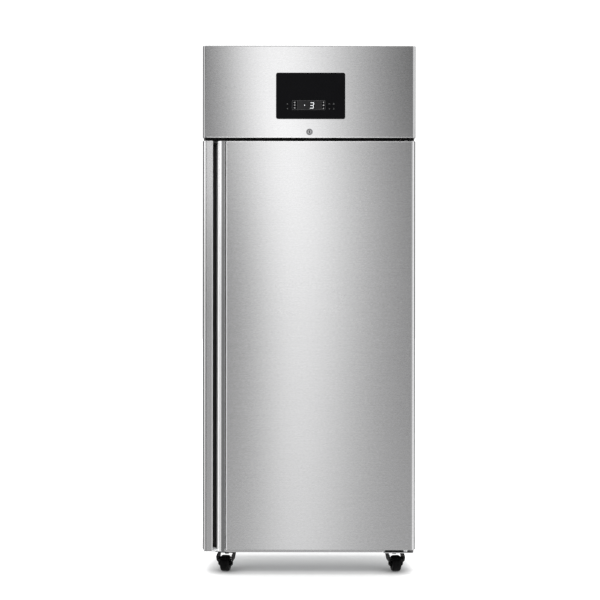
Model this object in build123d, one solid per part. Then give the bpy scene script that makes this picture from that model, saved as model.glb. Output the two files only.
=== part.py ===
from build123d import *
import math
import os

# Commercial upright refrigerator, one door, on four casters.
# Millimetres. +X right, -Y front, +Z up. Origin: centre of the footprint, on the floor.

# ---------------------------------------------------------------- driving sizes
W = 808.0          # overall width
H = 2010.0         # overall height
Y_FACE = -415.0    # front plane of the door and of the control panel
Y_REAR = 416.5     # outer face of the rear panel
Y_BODY = -343.0    # front plane of the carcass
T = 1.2            # sheet
T_SIDE = 1.0       # side sheet
XS = W / 2         # 404
Z_BASE = 78.0      # underside of the base pan
Z_DECK = 1652.0    # top of the insulated box
LX = 345.0         # half width of the storage space
LZ0, LZ1 = 145.0, 1590.0   # storage floor and ceiling
LY1 = 356.0        # rear wall of the storage space
Z_DOOR0, Z_DOOR1 = 97.3, 1649.4
Z_HANDLE0 = 92.0
DOOR_T = 60.0      # door thickness without gasket
U_SKIN = 87.8      # door skin starts this far from the door's left edge
HINGE_X, HINGE_Y = 368.0, -397.0
Z_PANEL0 = 1661.3  # lower edge of the control panel
Y_PANEL1 = -345.0  # rear edge of the control panel's sides
PIV_Y, PIV_Z = -351.0, 2004.0   # lift axis of the control panel
LOCK_X, LOCK_Z = 1.3, 1683.6
WHEEL_R = 31.0
WHEEL_W = 34.0
TRAIL = 25.0
SHELF_Z = (440.0, 760.0, 1080.0)
CASTERS = {
    "front_left": (-316.0, -301.0, -9.0),
    "front_right": (332.0, -301.0, 9.0),
    "rear_left": (-322.0, 325.0, 14.0),
    "rear_right": (322.0, 325.0, -11.0),
}

os.makedirs("parts", exist_ok=True)


# ---------------------------------------------------------------- helpers
def bx(x0, x1, y0, y1, z0, z1):
    return Pos((x0 + x1) / 2, (y0 + y1) / 2, (z0 + z1) / 2) * Box(
        x1 - x0, y1 - y0, z1 - z0
    )


def cz(x, y, z0, z1, r):
    return Pos(x, y, (z0 + z1) / 2) * Cylinder(r, z1 - z0)


def cy(x, z, y0, y1, r):
    return Pos(x, (y0 + y1) / 2, z) * Rot(90, 0, 0) * Cylinder(r, y1 - y0)


def cx(y, z, x0, x1, r):
    return Pos((x0 + x1) / 2, y, z) * Rot(0, 90, 0) * Cylinder(r, x1 - x0)


def outline_edges(points, radii, closed=True):
    """Lines and tangent arcs through 3-D points; radii has one radius per point."""
    n = len(points)
    vs = [Vector(*p) for p in points]
    starts, ends, arcs = [], [], []
    for i in range(n):
        p, r = vs[i], radii[i]
        if r == 0 or (not closed and i in (0, n - 1)):
            starts.append(p)
            ends.append(p)
            arcs.append(None)
            continue
        a = (vs[i - 1] - p).normalized()
        b = (vs[(i + 1) % n] - p).normalized()
        half = math.radians(a.get_angle(b)) / 2
        t = r / math.tan(half)
        m = (a + b).normalized()
        centre = p + m * (r / math.sin(half))
        s, e = p + a * t, p + b * t
        starts.append(s)
        ends.append(e)
        arcs.append(Edge.make_three_point_arc(s, centre - m * r, e))
    edges = []
    for i in range(n):
        if arcs[i] is not None:
            edges.append(arcs[i])
        if i < n - 1 or closed:
            a, b = ends[i], starts[(i + 1) % n]
            if (a - b).length > 1e-4:
                edges.append(Edge.make_line(a, b))
    return edges


def prism(points, radii, axis, a0, a1):
    """Extrude a filleted outline. axis z: (x, y); axis y: (x, z); axis x: (y, z)."""
    if not isinstance(radii, (list, tuple)):
        radii = [radii] * len(points)
    if axis == "z":
        pts, d = [(p[0], p[1], a0) for p in points], (0, 0, 1)
    elif axis == "y":
        pts, d = [(p[0], a0, p[1]) for p in points], (0, 1, 0)
    else:
        pts, d = [(a0, p[0], p[1]) for p in points], (1, 0, 0)
    face = Face(Wire(outline_edges(pts, radii)))
    return extrude(face, amount=a1 - a0, dir=d)


def rect(x0, x1, y0, y1):
    return [(x0, y0), (x1, y0), (x1, y1), (x0, y1)]


def pipe(points, bend, r):
    """Round bar or tube run along straight legs joined by tangent arcs."""
    edges = outline_edges(points, [bend] * len(points), closed=False)
    path = Wire(edges)
    start = Vector(*points[0])
    d = (Vector(*points[1]) - start).normalized()
    section = Plane(origin=start, z_dir=d) * Circle(r)
    return sweep(section, path=path)


def solids_of(*things):
    out = []
    for t in things:
        out.extend(t.solids())
    return out


def group(*things):
    return Compound(children=solids_of(*things))


NODES = {}


def keep(name, shape):
    NODES[name] = shape
    return shape


# ---------------------------------------------------------------- screws
# (position of the underside of the head, direction that the shank goes, shank length)
screws = []
for sx in (356.0, 380.0):
    for sy in (-328.0, -302.0):
        screws.append(((sx, sy, 1658.0), (0, 0, -1), 12.0))
for sx in (300.0, 340.0, 384.0):
    screws.append(((sx, Y_BODY - 2.4, 97.0), (0, 1, 0), 12.0))
for sx in (-385.0, -130.0, 130.0, 385.0):
    for sz in (1664.0, 1996.0):
        screws.append(((sx, 396.2, sz), (0, -1, 0), 8.0))
for cxx, cyy, _ in CASTERS.values():
    for dx in (-38.5, 38.5):
        for dy in (-25.5, 25.5):
            screws.append(((cxx + dx, cyy + dy, 75.5), (0, 0, 1), 10.0))


def screw_solid(pos, direction, length):
    plane = Plane(origin=pos, z_dir=direction)
    shank = plane * (Pos(0, 0, length / 2) * Cylinder(2.4, length))
    head = plane * (Pos(0, 0, -1.2) * Cylinder(4.8, 2.4))
    rim = head.edges().filter_by(GeomType.CIRCLE)
    top = [e for e in rim if (e.center() - Vector(*pos)).dot(Vector(*direction)) < -2.0]
    head = fillet(top, 1.2)
    return head + shank


def screw_hole(pos, direction, length):
    plane = Plane(origin=pos, z_dir=direction)
    return plane * (Pos(0, 0, length / 2) * Cylinder(2.4, length))


SCREW_HOLES = [screw_hole(*s) for s in screws]


def drill(shape):
    box = shape.bounding_box()
    for (pos, direction, length), hole in zip(screws, SCREW_HOLES):
        b = hole.bounding_box()
        if (
            b.max.X < box.min.X
            or b.min.X > box.max.X
            or b.max.Y < box.min.Y
            or b.min.Y > box.max.Y
            or b.max.Z < box.min.Z
            or b.min.Z > box.max.Z
        ):
            continue
        shape = shape - hole
    return shape


# ---------------------------------------------------------------- carcass
keep("side_panel_left", bx(-XS, -XS + T_SIDE, Y_BODY, Y_REAR, Z_BASE, H - T))
keep("side_panel_right", bx(XS - T_SIDE, XS, Y_BODY, Y_REAR, Z_BASE, H - T))
XI = XS - T_SIDE  # inner face of the side sheets

DRAIN = [(-150, 345.2, 1440), (-150, 378, 1440), (-150, 378, 60)]
drain_hole = pipe([(-150, 340, 1440), (-150, 378, 1440), (-150, 378, 40)], 20, 8.4)
riser_hole = bx(225, 295, 285, 315, 1585, 1655)

base_pan = bx(-XI, XI, Y_BODY, Y_REAR, Z_BASE, Z_BASE + T)
keep("base_pan", drill(base_pan - drain_hole))
rear_panel = bx(-XI, XI, Y_REAR - T, Y_REAR, Z_BASE + T, Z_DECK)
for bead_x in (-240.0, 0.0, 240.0):
    # long pressed stiffening beads, sunk towards the foam
    rear_panel = rear_panel - prism(
        [(bead_x - 9, 260), (bead_x + 9, 260), (bead_x + 9, 1480), (bead_x - 9, 1480)],
        8.9, "y", Y_REAR - 0.5, Y_REAR + 1,
    )
keep("rear_panel", rear_panel)

frame_window = prism(rect(-LX, LX, LZ0, LZ1), 15.0, "y", Y_BODY - 1, Y_BODY + 3)
front_frame = bx(-XI, XI, Y_BODY, Y_BODY + T, Z_BASE + T, Z_DECK - T) - frame_window
keep("front_frame", drill(front_frame))

liner_out = prism(rect(-LX - 1, LX + 1, LZ0 - 1, LZ1 + 1), 16.0, "y", Y_BODY + T, LY1 + 1)
liner_in = prism(rect(-LX, LX, LZ0, LZ1), 15.0, "y", Y_BODY, LY1)
keep("inner_liner", liner_out - liner_in - drain_hole - riser_hole)

foam = bx(-XI, XI, Y_BODY + T, Y_REAR - T, Z_BASE + T, Z_DECK - T)
foam = foam - liner_out - drain_hole - riser_hole
keep("cabinet_foam", drill(foam))

deck = bx(-XI, XI, Y_BODY, Y_REAR - T, Z_DECK - T, Z_DECK) - riser_hole
keep("machine_deck", drill(deck))

# roof cover: flat top with vent slots and a stiffening lip near its front edge
roof = bx(-XS, XS, -346.0, Y_REAR, H - T, H) + bx(-394, 394, -337, -335.8, 1986, H - T)
for i in range(14):
    for x0 in (-300.0, 60.0):
        y = 40.0 + i * 20.0
        roof = roof - prism(rect(x0, x0 + 220, y - 4, y + 4), 3.9, "z", H - T - 1, H + 1)
keep("roof_cover", roof)

# rear grille of the machine compartment, set back, with rows of slots and a cable hole
GLAND_X, GLAND_Z = 330.0, 1716.0
grille = bx(-XI, XI, 395, 395 + T, Z_DECK, H - T)
grille_cuts = []
for row in range(13):
    z = 1700.0 + row * 21.0
    for x0 in (-350.0, -215.0, -80.0, 55.0, 190.0):
        if x0 > 150 and z < 1750:
            continue
        grille_cuts.append(
            prism(rect(x0, x0 + 115, z - 4, z + 4), 3.9, "y", 393, 398)
        )
for c in grille_cuts:
    grille = grille - c
grille = grille - cy(GLAND_X, GLAND_Z, 390, 400, 8.0)
keep("rear_grille", drill(grille))

# cable gland: flange outside, nut inside, through bore
gland = cy(GLAND_X, GLAND_Z, 385.0, 396.2, 8.0) + cy(GLAND_X, GLAND_Z, 396.2, 399.2, 12.5)
gland = gland + prism(
    [
        (GLAND_X + 13 * math.cos(math.radians(60 * k)), GLAND_Z + 13 * math.sin(math.radians(60 * k)))
        for k in range(6)
    ],
    0, "y", 389.0, 395.0,
)
gland = gland + cy(GLAND_X, GLAND_Z, 399.2, 410.0, 9.5) - cy(GLAND_X, GLAND_Z, 380, 415, 5.0)
keep("cable_gland", gland)

# ---------------------------------------------------------------- storage fittings
def pilaster(side, y0):
    """Slotted upright, a shallow channel against the side wall of the storage space."""
    x0, x1 = (LX - 16.0, LX) if side > 0 else (-LX, -LX + 16.0)
    post = bx(x0, x1, y0, y0 + 22, 165, 1400)
    if side > 0:
        post = post - bx(x0 + 1.2, x1 + 1, y0 + 1.2, y0 + 20.8, 160, 1405)
    else:
        post = post - bx(x0 - 1, x1 - 1.2, y0 + 1.2, y0 + 20.8, 160, 1405)
    cuts = [
        bx(min(x0, x1) - 1, max(x0, x1) + 1, y0 + 7, y0 + 15, z, z + 14)
        for z in [200.0 + 40.0 * k for k in range(30)]
    ]
    return post - cuts


keep(
    "shelf_pilasters",
    group(pilaster(1, -272), pilaster(1, 250), pilaster(-1, -272), pilaster(-1, 250)),
)


def slide(side, z):
    x_in, x_out = LX - 16.0 - 26.0, LX - 16.0
    pts = [
        (side * x_out, z),
        (side * x_in, z),
        (side * x_in, z + 1.5),
        (side * (x_out - 1.5), z + 1.5),
        (side * (x_out - 1.5), z + 26),
        (side * x_out, z + 26),
    ]
    rail = prism(pts, 0, "y", -290, 300)
    stop = bx(
        min(side * x_in, side * (x_out - 1.5)),
        max(side * x_in, side * (x_out - 1.5)),
        298.5, 300, z + 1.5, z + 22,
    )
    return rail + stop


keep("shelf_slides", group(*[slide(s, z) for z in SHELF_Z for s in (-1, 1)]))


def wire_shelf(z):
    """Grid shelf: round bar frame, two cross bars and close wires front to back."""
    zr = z + 1.5 + 3.5
    x1, y0, y1 = 324.0, -262.0, 268.0
    frame_pts = [(-x1, y0, zr), (x1, y0, zr), (x1, y1, zr), (-x1, y1, zr)]
    loop = Wire(outline_edges(frame_pts, [18] * 4))
    start = loop @ 0
    tan = loop % 0
    shelf = sweep(Plane(origin=start, z_dir=tan) * Circle(3.5), path=loop)
    for y in (-110.0, 116.0):
        shelf = shelf + cx(y, zr, -x1, x1, 3.0)
    wires = [
        cy(-312.0 + 26.0 * k, zr + 3.6, y0 - 1.0, y1 + 1.0, 1.5) for k in range(25)
    ]
    return shelf + wires


for nm, z in zip(("lower", "middle", "upper"), SHELF_Z):
    keep("wire_shelf_" + nm, wire_shelf(z))

# evaporator housing under the ceiling, open along the rear wall
EV_X, EV_Y0, EV_Y1, EV_Z0 = 300.0, 40.0, 345.0, 1430.0
FAN_Z = 1510.0
cover = bx(-EV_X, EV_X, EV_Y0, EV_Y0 + T, EV_Z0, LZ1)
cover = cover + bx(-EV_X, EV_X, EV_Y0, EV_Y1, EV_Z0, EV_Z0 + T)
cover = cover + bx(-EV_X, -EV_X + T, EV_Y0, EV_Y1, EV_Z0, LZ1)
cover = cover + bx(EV_X - T, EV_X, EV_Y0, EV_Y1, EV_Z0, LZ1)
cover = cover + bx(-EV_X, EV_X, EV_Y1 - T, EV_Y1, EV_Z0, EV_Z0 + 22)
bars = [
    Pos(0, EV_Y0, FAN_Z) * Rot(0, a, 0) * Box(150, 10, 4) for a in (0, 60, 120)
]
for r0, r1 in ((18, 30), (34, 46), (50, 66)):
    annulus = cy(0, FAN_Z, EV_Y0 - 1, EV_Y0 + 2, r1) - cy(0, FAN_Z, EV_Y0 - 2, EV_Y0 + 3, r0)
    cover = cover - (annulus - bars)
for k in range(9):
    for x0 in (-270.0, 110.0):
        z = 1450.0 + 14.0 * k
        cover = cover - prism(rect(x0, x0 + 160, z - 3, z + 3), 2.9, "y", EV_Y0 - 1, EV_Y0 + 2)
cover = cover - cy(-150, 1440, EV_Y1 - 5, EV_Y1 + 5, 6.0)
keep("evaporator_cover", cover)

coil = bx(-226, 186, 120, 250, 1460, 1560)
coil = coil + bx(-230, -226, 114, 256, 1450, 1570) + bx(186, 190, 114, 256, 1450, 1570)
bends = []
for zc in (1482.0, 1538.0):
    for yc in (150.0, 215.0):
        bends.append(pipe([(-230, yc - 14, zc), (-252, yc - 14, zc), (-252, yc + 14, zc), (-230, yc + 14, zc)], 13.9, 5))
for b in bends:
    coil = coil + b
keep("evaporator_coil", coil)

ev_motor = cy(0, FAN_Z, 72, 110, 30) + cy(0, FAN_Z, 48, 72, 3.0)
ev_motor = ev_motor + bx(-84, 84, 84, 87, FAN_Z - 9, FAN_Z + 9)
ev_motor = ev_motor + bx(-84, -81, EV_Y0 + T, 87, FAN_Z - 9, FAN_Z + 9)
ev_motor = ev_motor + bx(81, 84, EV_Y0 + T, 87, FAN_Z - 9, FAN_Z + 9)
keep("evaporator_fan_motor", ev_motor)


def fan(x, z, y0, hub_r, hub_l, tip_r, count, bore, pitch, chord, thick=1.8):
    """Axial fan on an axis along Y: hub with bore, pitched blades."""
    hub = cy(x, z, y0, y0 + hub_l, hub_r)
    out = hub
    length = tip_r - hub_r + 4
    mid = hub_r - 4 + length / 2
    for k in range(count):
        blade = Box(length, thick, chord)
        blade = fillet(blade.edges().filter_by(Axis.Y).sort_by(Axis.X)[-2:], chord * 0.35)
        blade = Pos(mid, 0, 0) * (Rot(pitch, 0, 0) * blade)
        blade = Pos(x, y0 + hub_l / 2, z) * (Rot(0, 360.0 * k / count, 0) * blade)
        out = out + blade
    return out - cy(x, z, y0 - 5, y0 + hub_l + 5, bore)


keep("evaporator_fan_blade", fan(0, FAN_Z, 48, 14, 18, 62, 5, 3.05, 28, 26))

lamp = prism([(-320, 1578), (-298, 1578), (-294, 1590), (-324, 1590)], [4, 4, 0, 0], "x", -200, 200)
keep("interior_lamp", lamp)
probe = cy(-120, 1444, 22, 40, 3.0) + bx(-128, -112, 37, 40, 1438, 1450)
keep("temperature_probe", probe)

# ---------------------------------------------------------------- machine compartment
CPX, CPY = 190.0, 150.0
shell_pts = [(0, 1675), (72, 1675), (80, 1690), (80, 1755), (84, 1755), (84, 1761), (80, 1761), (80, 1822), (46, 1850), (0, 1850)]
edges = outline_edges([(p[0], 0, p[1]) for p in shell_pts], [0, 6, 0, 0, 0, 0, 0, 22, 14, 0])
shell = revolve(Face(Wire(edges)), axis=Axis((0, 0, 0), (0, 0, 1)))
shell = Pos(CPX, CPY, 0) * shell
foot_pts = [(CPX - 95, CPY - 70), (CPX + 95, CPY - 70), (CPX + 95, CPY + 70), (CPX - 95, CPY + 70)]
foot = prism(foot_pts, 14, "z", 1672, 1675.5)
FEET = [(CPX - 78, CPY - 54), (CPX + 78, CPY - 54), (CPX - 78, CPY + 54), (CPX + 78, CPY + 54)]
for fx, fy in FEET:
    foot = foot - cz(fx, fy, 1665, 1680, 8)
compressor = shell + foot
compressor = compressor + bx(CPX + 60, CPX + 104, CPY - 28, CPY + 28, 1730, 1800)
compressor = compressor + cx(CPY - 30, 1780, CPX - 92, CPX - 60, 4.0)
compressor = compressor + cz(CPX + 20, CPY + 30, 1836, 1862, 6.0)
keep("compressor", compressor)


def mount_bush(fx, fy):
    body = cz(fx, fy, Z_DECK, 1672, 14) + cz(fx, fy, 1671, 1676, 8) + cz(fx, fy, 1675.5, 1681, 12)
    return body - (cz(fx, fy, 1659, 1664, 15) - cz(fx, fy, 1658, 1665, 12))


keep("compressor_mounts", group(*[mount_bush(*f) for f in FEET]))

CX0, CX1, CY0, CY1, CZ0, CZ1 = -340.0, -40.0, -215.0, -150.0, 1690.0, 1910.0
cond = bx(CX0 + 3, CX1 - 3, CY0, CY1, CZ0, CZ1)
for xx in (CX0, CX1 - 3):
    cond = cond + bx(xx, xx + 3, CY0 - 4, CY1, Z_DECK, CZ1 + 6)
cbends = []
for k in range(4):
    z0 = 1722.0 + 50.0 * k
    cbends.append(pipe([(CX0, -198, z0), (CX0 - 22, -198, z0), (CX0 - 22, -198, z0 + 25), (CX0, -198, z0 + 25)], 12.4, 4.5))
    cbends.append(pipe([(CX1, -172, z0), (CX1 + 22, -172, z0), (CX1 + 22, -172, z0 + 25), (CX1, -172, z0 + 25)], 12.4, 4.5))
for b in cbends:
    cond = cond + b
keep("condenser_coil", cond)

FCX, FCZ = -190.0, 1800.0
shroud = bx(CX0, CX1, CY1, CY1 + 2, CZ0, CZ1)
shroud = shroud + cy(FCX, FCZ, CY1, CY1 + 30, 101)
shroud = shroud - cy(FCX, FCZ, CY1 - 2, CY1 + 40, 99)
keep("fan_shroud", shroud)
keep("condenser_fan_blade", fan(FCX, FCZ, -144, 24, 26, 93, 5, 4.05, 30, 34, 2.2))
motor = cy(FCX, FCZ, -112, -52, 36) + cy(FCX, FCZ, -142, -112, 4.0)
for a in (45, 135, 225, 315):
    arm = Pos(60, 0, 0) * Box(72, 3, 12)
    arm = Pos(FCX, -90, FCZ) * (Rot(0, a, 0) * arm)
    tip = Pos(96.5, -14.5, 0) * Box(3, 32, 12)
    tip = Pos(FCX, -90, FCZ) * (Rot(0, a, 0) * tip)
    motor = motor + arm + tip
motor = motor - (cy(FCX, FCZ, -160, -40, 120) - cy(FCX, FCZ, -161, -39, 98.9))
keep("condenser_fan_motor", motor)

drier_pts = [(0, 0), (4, 0), (4, 8), (12, 20), (12, 90), (4, 102), (4, 110), (0, 110)]
drier = revolve(
    Face(Wire(outline_edges([(p[0], 0, p[1]) for p in drier_pts], [0, 0, 2, 4, 4, 2, 0, 0]))),
    axis=Axis((0, 0, 0), (0, 0, 1)),
)
keep("filter_drier", Pos(-368, 20, 1705) * (Rot(-90, 0, 0) * drier))

ebox = prism(rect(120, 350, -300, -170), 8, "z", Z_DECK, 1768)
lid = prism(rect(117, 353, -303, -167), 10, "z", 1768, 1778)
ebox = ebox + lid
for zz in (1690.0, 1725.0):
    ebox = ebox + cx(-235, zz, 108, 122, 9)
keep("electrical_box", ebox)

keep(
    "pipework",
    group(
        pipe([(CPX - 92, CPY - 30, 1780), (20, CPY - 30, 1780), (20, -182, 1780), (20, -182, 1896), (-40, -182, 1896)], 16, 4.0),
        pipe([(-340, -182, 1705), (-368, -182, 1705), (-368, 20, 1705)], 16, 4.0),
        pipe([(-368, 130, 1705), (-368, 300, 1705), (240, 300, 1705), (240, 300, 1540), (240, 220, 1540), (190, 220, 1540)], 14, 3.0),
        pipe([(190, 160, 1500), (278, 160, 1500), (278, 300, 1500), (278, 300, 1900), (CPX + 20, 300, 1900), (CPX + 20, CPY + 30, 1900), (CPX + 20, CPY + 30, 1862)], 18, 6.0),
        pipe(DRAIN, 20, 8.0),
    ),
)

tray = bx(-210, -60, 250, 395, 46, Z_BASE) - bx(-208.5, -61.5, 251.5, 393.5, 47.5, 90)
tray = tray + bx(-224, -210, 250, 395, Z_BASE - 1.5, Z_BASE) + bx(-60, -46, 250, 395, Z_BASE - 1.5, Z_BASE)
keep("evaporating_tray", tray)

keep("door_switch", prism(rect(-336, -290, -338, -324), 3, "z", Z_DECK, 1664))

# ---------------------------------------------------------------- hinge brackets
BR_X0, BR_X1 = 351.0, 385.0
top_plate = prism(
    [(BR_X0, -286), (BR_X0, -408), (BR_X1, -408), (BR_X1, -286)], [3, 12, 12, 3], "z", Z_DECK, Z_DECK + 6
)
top_bracket = top_plate + cz(HINGE_X, HINGE_Y, 1626.0, Z_DECK + 3, 5.0)
keep("hinge_bracket_top", drill(top_bracket))

bot_plate = prism(
    [(285, Y_BODY), (285, -406), (399, -406), (399, Y_BODY)], [0, 10, 6, 0], "z", 84, 88
)
bot_flange = prism([(285, 84), (399, 84), (399, 106), (285, 106)], [0, 0, 5, 5], "y", Y_BODY - 2.4, Y_BODY)
bot_bracket = bot_plate + bot_flange
bot_bracket = bot_bracket + cz(HINGE_X, HINGE_Y, 86, 120, 5.0) + cz(HINGE_X, HINGE_Y, 88, 95.2, 9.0)
keep("hinge_bracket_bottom", drill(bot_bracket))

# control panel pivots: arm on each side sheet, pin pointing inwards
pivots = []
for s in (-1, 1):
    a, b = sorted((s * 397.0, s * 400.0))
    nose = cx(PIV_Y, PIV_Z, a, b, 4.5)
    arm = prism([(-354, 2001), (-351, 2002), (-300, 2002), (-300, 1985), (-344, 1985)], 0, "x", a, b) + nose
    a, b = sorted((s * 400.0, s * XI))
    pad = bx(a, b, -338, -300, 1985, 2002)
    a, b = sorted((s * 384.0, s * 398.0))
    pin = cx(PIV_Y, PIV_Z, a, b, 3.0)
    pivots.append(arm + pad + pin)
keep("panel_pivots", group(*pivots))

# ---------------------------------------------------------------- control panel
def rounded_block(x0, x1, y0, y1, z0, z1, r_side, r_top, r_bottom):
    block = prism([(x0, y1), (x0, y0), (x1, y0), (x1, y1)], [0, r_side, r_side, 0], "z", z0, z1)
    block = fillet(front_rim(block, z1, y0, r_side), r_top)
    block = fillet(front_rim(block, z0, y0, r_side), r_bottom)
    return block


def front_rim(block, z, y0, r_side):
    """Edges of the rim at height z that lie on the front and its rounded corners and sides."""
    out = []
    for e in block.edges():
        bb = e.bounding_box()
        if abs(bb.min.Z - z) < 1e-3 and abs(bb.max.Z - z) < 1e-3 and bb.min.Y < bb.max.Y + 1e-9:
            if e.geom_type == GeomType.CIRCLE or bb.max.Y - bb.min.Y > 1 or bb.max.Y < y0 + 1e-3:
                out.append(e)
    return out


panel = rounded_block(-XS, XS, Y_FACE, Y_PANEL1, Z_PANEL0, H, 12.0, 2.5, 2.5)
panel_in = rounded_block(-XS + T, XS - T, Y_FACE + T, Y_PANEL1 + 5, Z_PANEL0 + T, H - T, 12.0 - T, 1.3, 1.3)
panel = panel - panel_in
# shorten the top and bottom returns and clear the carcass
panel = panel - bx(-XS + T, XS - T, -375, Y_PANEL1 + 1, Z_PANEL0 - 1, Z_PANEL0 + T + 0.5)
panel = panel - bx(-XS + T + 0.0, XS - T, PIV_Y, Y_PANEL1 + 1, H - 5, H + 1)
panel = panel - bx(-XS - 1, XS + 1, PIV_Y, Y_PANEL1 + 1, PIV_Z - 0.5, H + 1)
for s in (-1, 1):
    a, b = sorted((s * 388.0, s * 390.5))
    ear = bx(a, b, -378, PIV_Y, 1990, H - T) + cx(PIV_Y, PIV_Z, a, b, 5.0)
    ear = ear - cx(PIV_Y, PIV_Z, a - 1, b + 1, 3.06)
    panel = panel + ear
MOD_X0, MOD_X1, MOD_Z0, MOD_Z1 = -64.0, 60.0, 1757.0, 1812.0
panel = panel - bx(MOD_X0 - 1, MOD_X1 + 1, Y_FACE - 2, Y_FACE + 2, MOD_Z0 - 1, MOD_Z1 + 1)
panel = panel - cy(LOCK_X, LOCK_Z, Y_FACE - 2, Y_FACE + 3, 9.5)
panel = panel - bx(LOCK_X - 9, LOCK_X + 40, -395, -386, Z_PANEL0 - 1, Z_PANEL0 + T + 1)
keep("control_panel", panel)

keep("display_glass", prism(rect(-125.8, 136.8, 1732.1, 1907.8), 8.0, "y", -416.2, Y_FACE))
module = bx(MOD_X0, MOD_X1, Y_FACE, Y_FACE + 5, MOD_Z0, MOD_Z1) + bx(
    MOD_X0 - 5, MOD_X1 + 5, Y_FACE + T, Y_FACE + 5, MOD_Z0 - 5, MOD_Z1 + 5
)
module = module + bx(MOD_X0 + 6, MOD_X1 - 6, Y_FACE + 5, Y_FACE + 52, MOD_Z0 + 4, MOD_Z1 - 4)
for k in range(8):
    module = module - bx(-52 + 13 * k, -45 + 13 * k, Y_FACE + 46, Y_FACE + 54, MOD_Z0 + 10, MOD_Z0 + 18)
keep("controller_module", module)

barrel = cy(LOCK_X, LOCK_Z, -416.5, -415.0, 12.3) + cy(LOCK_X, LOCK_Z, -415.0, -393.0, 9.5)
flange_rim = [e for e in barrel.edges().filter_by(GeomType.CIRCLE) if abs(e.center().Y + 416.5) < 1e-3]
barrel = fillet(flange_rim, 0.8)
barrel = barrel + prism(
    [
        (LOCK_X + 14 * math.cos(math.radians(60 * k)), LOCK_Z + 14 * math.sin(math.radians(60 * k)))
        for k in range(6)
    ],
    0, "y", Y_FACE + T, Y_FACE + T + 3.5,
)
barrel = barrel - cy(LOCK_X, LOCK_Z, -420, -390, 7.56)
keep("lock_barrel", barrel)

plug = cy(LOCK_X, LOCK_Z, -416.2, -392.0, 7.5)
plug = plug - bx(LOCK_X - 1.6, LOCK_X + 1.6, -420, -406, LOCK_Z - 5.0, LOCK_Z + 5.0)
cam = bx(LOCK_X, LOCK_X + 35, -392.0, -389.4, LOCK_Z - 7, LOCK_Z + 7)
cam = cam + cy(LOCK_X, LOCK_Z, -392.0, -389.4, 10) + cy(LOCK_X + 35, LOCK_Z, -392.0, -389.4, 7)
plug = plug + cam + cy(LOCK_X, LOCK_Z, -392.0, -385.5, 4.5)
keep("lock_plug", plug)

# ---------------------------------------------------------------- door
def uv(points):
    """Section points (from the door's left edge, from its front face) to X, Y."""
    return [(-XS + u, Y_FACE + v) for u, v in points]


TAN20 = math.tan(math.radians(20.0))
# offset line of the shoulder, 2.5 mm behind it
OFF_U, OFF_V = 72 + 2.5 * math.sin(math.radians(20)), 5 + 2.5 * math.cos(math.radians(20))


def off_v(u):
    return OFF_V - (u - OFF_U) * TAN20


handle_pts = [
    (0, 58.0), (0, 0), (39, 0), (39, 7), (10, 7), (10, 40), (50, 40),
    (50, 5 + 22 * TAN20), (85.5, 5 - 13.5 * TAN20), (85.5, 20), (83, 20),
    (83, off_v(83)), (52.5, off_v(52.5)), (52.5, 42.5), (2.5, 42.5), (2.5, 58.0),
]
handle_rad = [0, 16, 3, 3, 5, 6, 3, 33.4, 0.8, 0, 0, 0.8, 30.9, 5.5, 0, 0]
handle = prism(uv(handle_pts), handle_rad, "z", Z_HANDLE0, Z_DOOR1)
# hollow chamber of the grip and the cut-off lower left corner
handle = handle - prism(uv([(2.5, 12), (7.0, 12), (7.0, 38), (2.5, 38)]), 1.0, "z", Z_HANDLE0 - 1, Z_DOOR1 + 1)
corner = Pos(-XS, 0, Z_HANDLE0) * (Rot(0, 45, 0) * Box(14, 200, 14))
handle = handle - (Pos(0, -400, 0) * corner)
handle_walls = [
    bx(-XS - 1, -XS + 10, Y_FACE - 1, Y_FACE + 60, 80, 1660),
    bx(-XS + 10, -XS + 50, Y_FACE - 1, Y_FACE + 20, 80, 1660),
    bx(-XS + 10, -XS + 50, Y_FACE + 20, Y_FACE + 60, 80, 1660),
    bx(-XS + 50, -XS + 90, Y_FACE - 1, Y_FACE + 60, 80, 1660),
]
keep("handle_profile", group(*[handle & w for w in handle_walls]))

# light plugs that close the finger recess at both ends, with a sloped inner face
plug_pts = uv([(9, 6), (39, 6), (39, 4.2), (57, 16.0), (51, 37), (51, 41), (9, 41)])
low_plug = prism(plug_pts, 0, "z", Z_HANDLE0 + 1, Z_HANDLE0 + 11) - handle
ramp = Pos(-XS + 30, Y_FACE + 4, Z_HANDLE0 + 3) * (Rot(10, 0, 0) * (Pos(0, 30, 20) * Box(120, 120, 40)))
low_plug = low_plug - ramp
top_plug = prism(plug_pts, 0, "z", Z_DOOR1 - 16, Z_DOOR1 - 1) - handle
ramp = Pos(-XS + 30, Y_FACE + 4, Z_DOOR1 - 5) * (Rot(-20, 0, 0) * (Pos(0, 30, -20) * Box(120, 120, 40)))
top_plug = top_plug - ramp
low_plug = low_plug.solids().sort_by(SortBy.VOLUME)[-1]
top_plug = top_plug.solids().sort_by(SortBy.VOLUME)[-1]

# door skin: folded pan, rounded front edges, open back
def door_block(u0, u1, v0, v1, z0, z1, r_right, r_back, r_left, r_rim):
    pts = uv([(u0, v1), (u0, v0), (u1, v0), (u1, v1)])
    block = prism(pts, [0, r_left, r_right, r_back], "z", z0, z1)
    rims = []
    y_front = Y_FACE + v0
    for e in block.edges():
        bb = e.bounding_box()
        flat = abs(bb.min.Z - bb.max.Z) < 1e-3
        if flat and bb.max.Y < y_front + r_right + 0.01:
            rims.append(e)
    return fillet(rims, r_rim)


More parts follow.
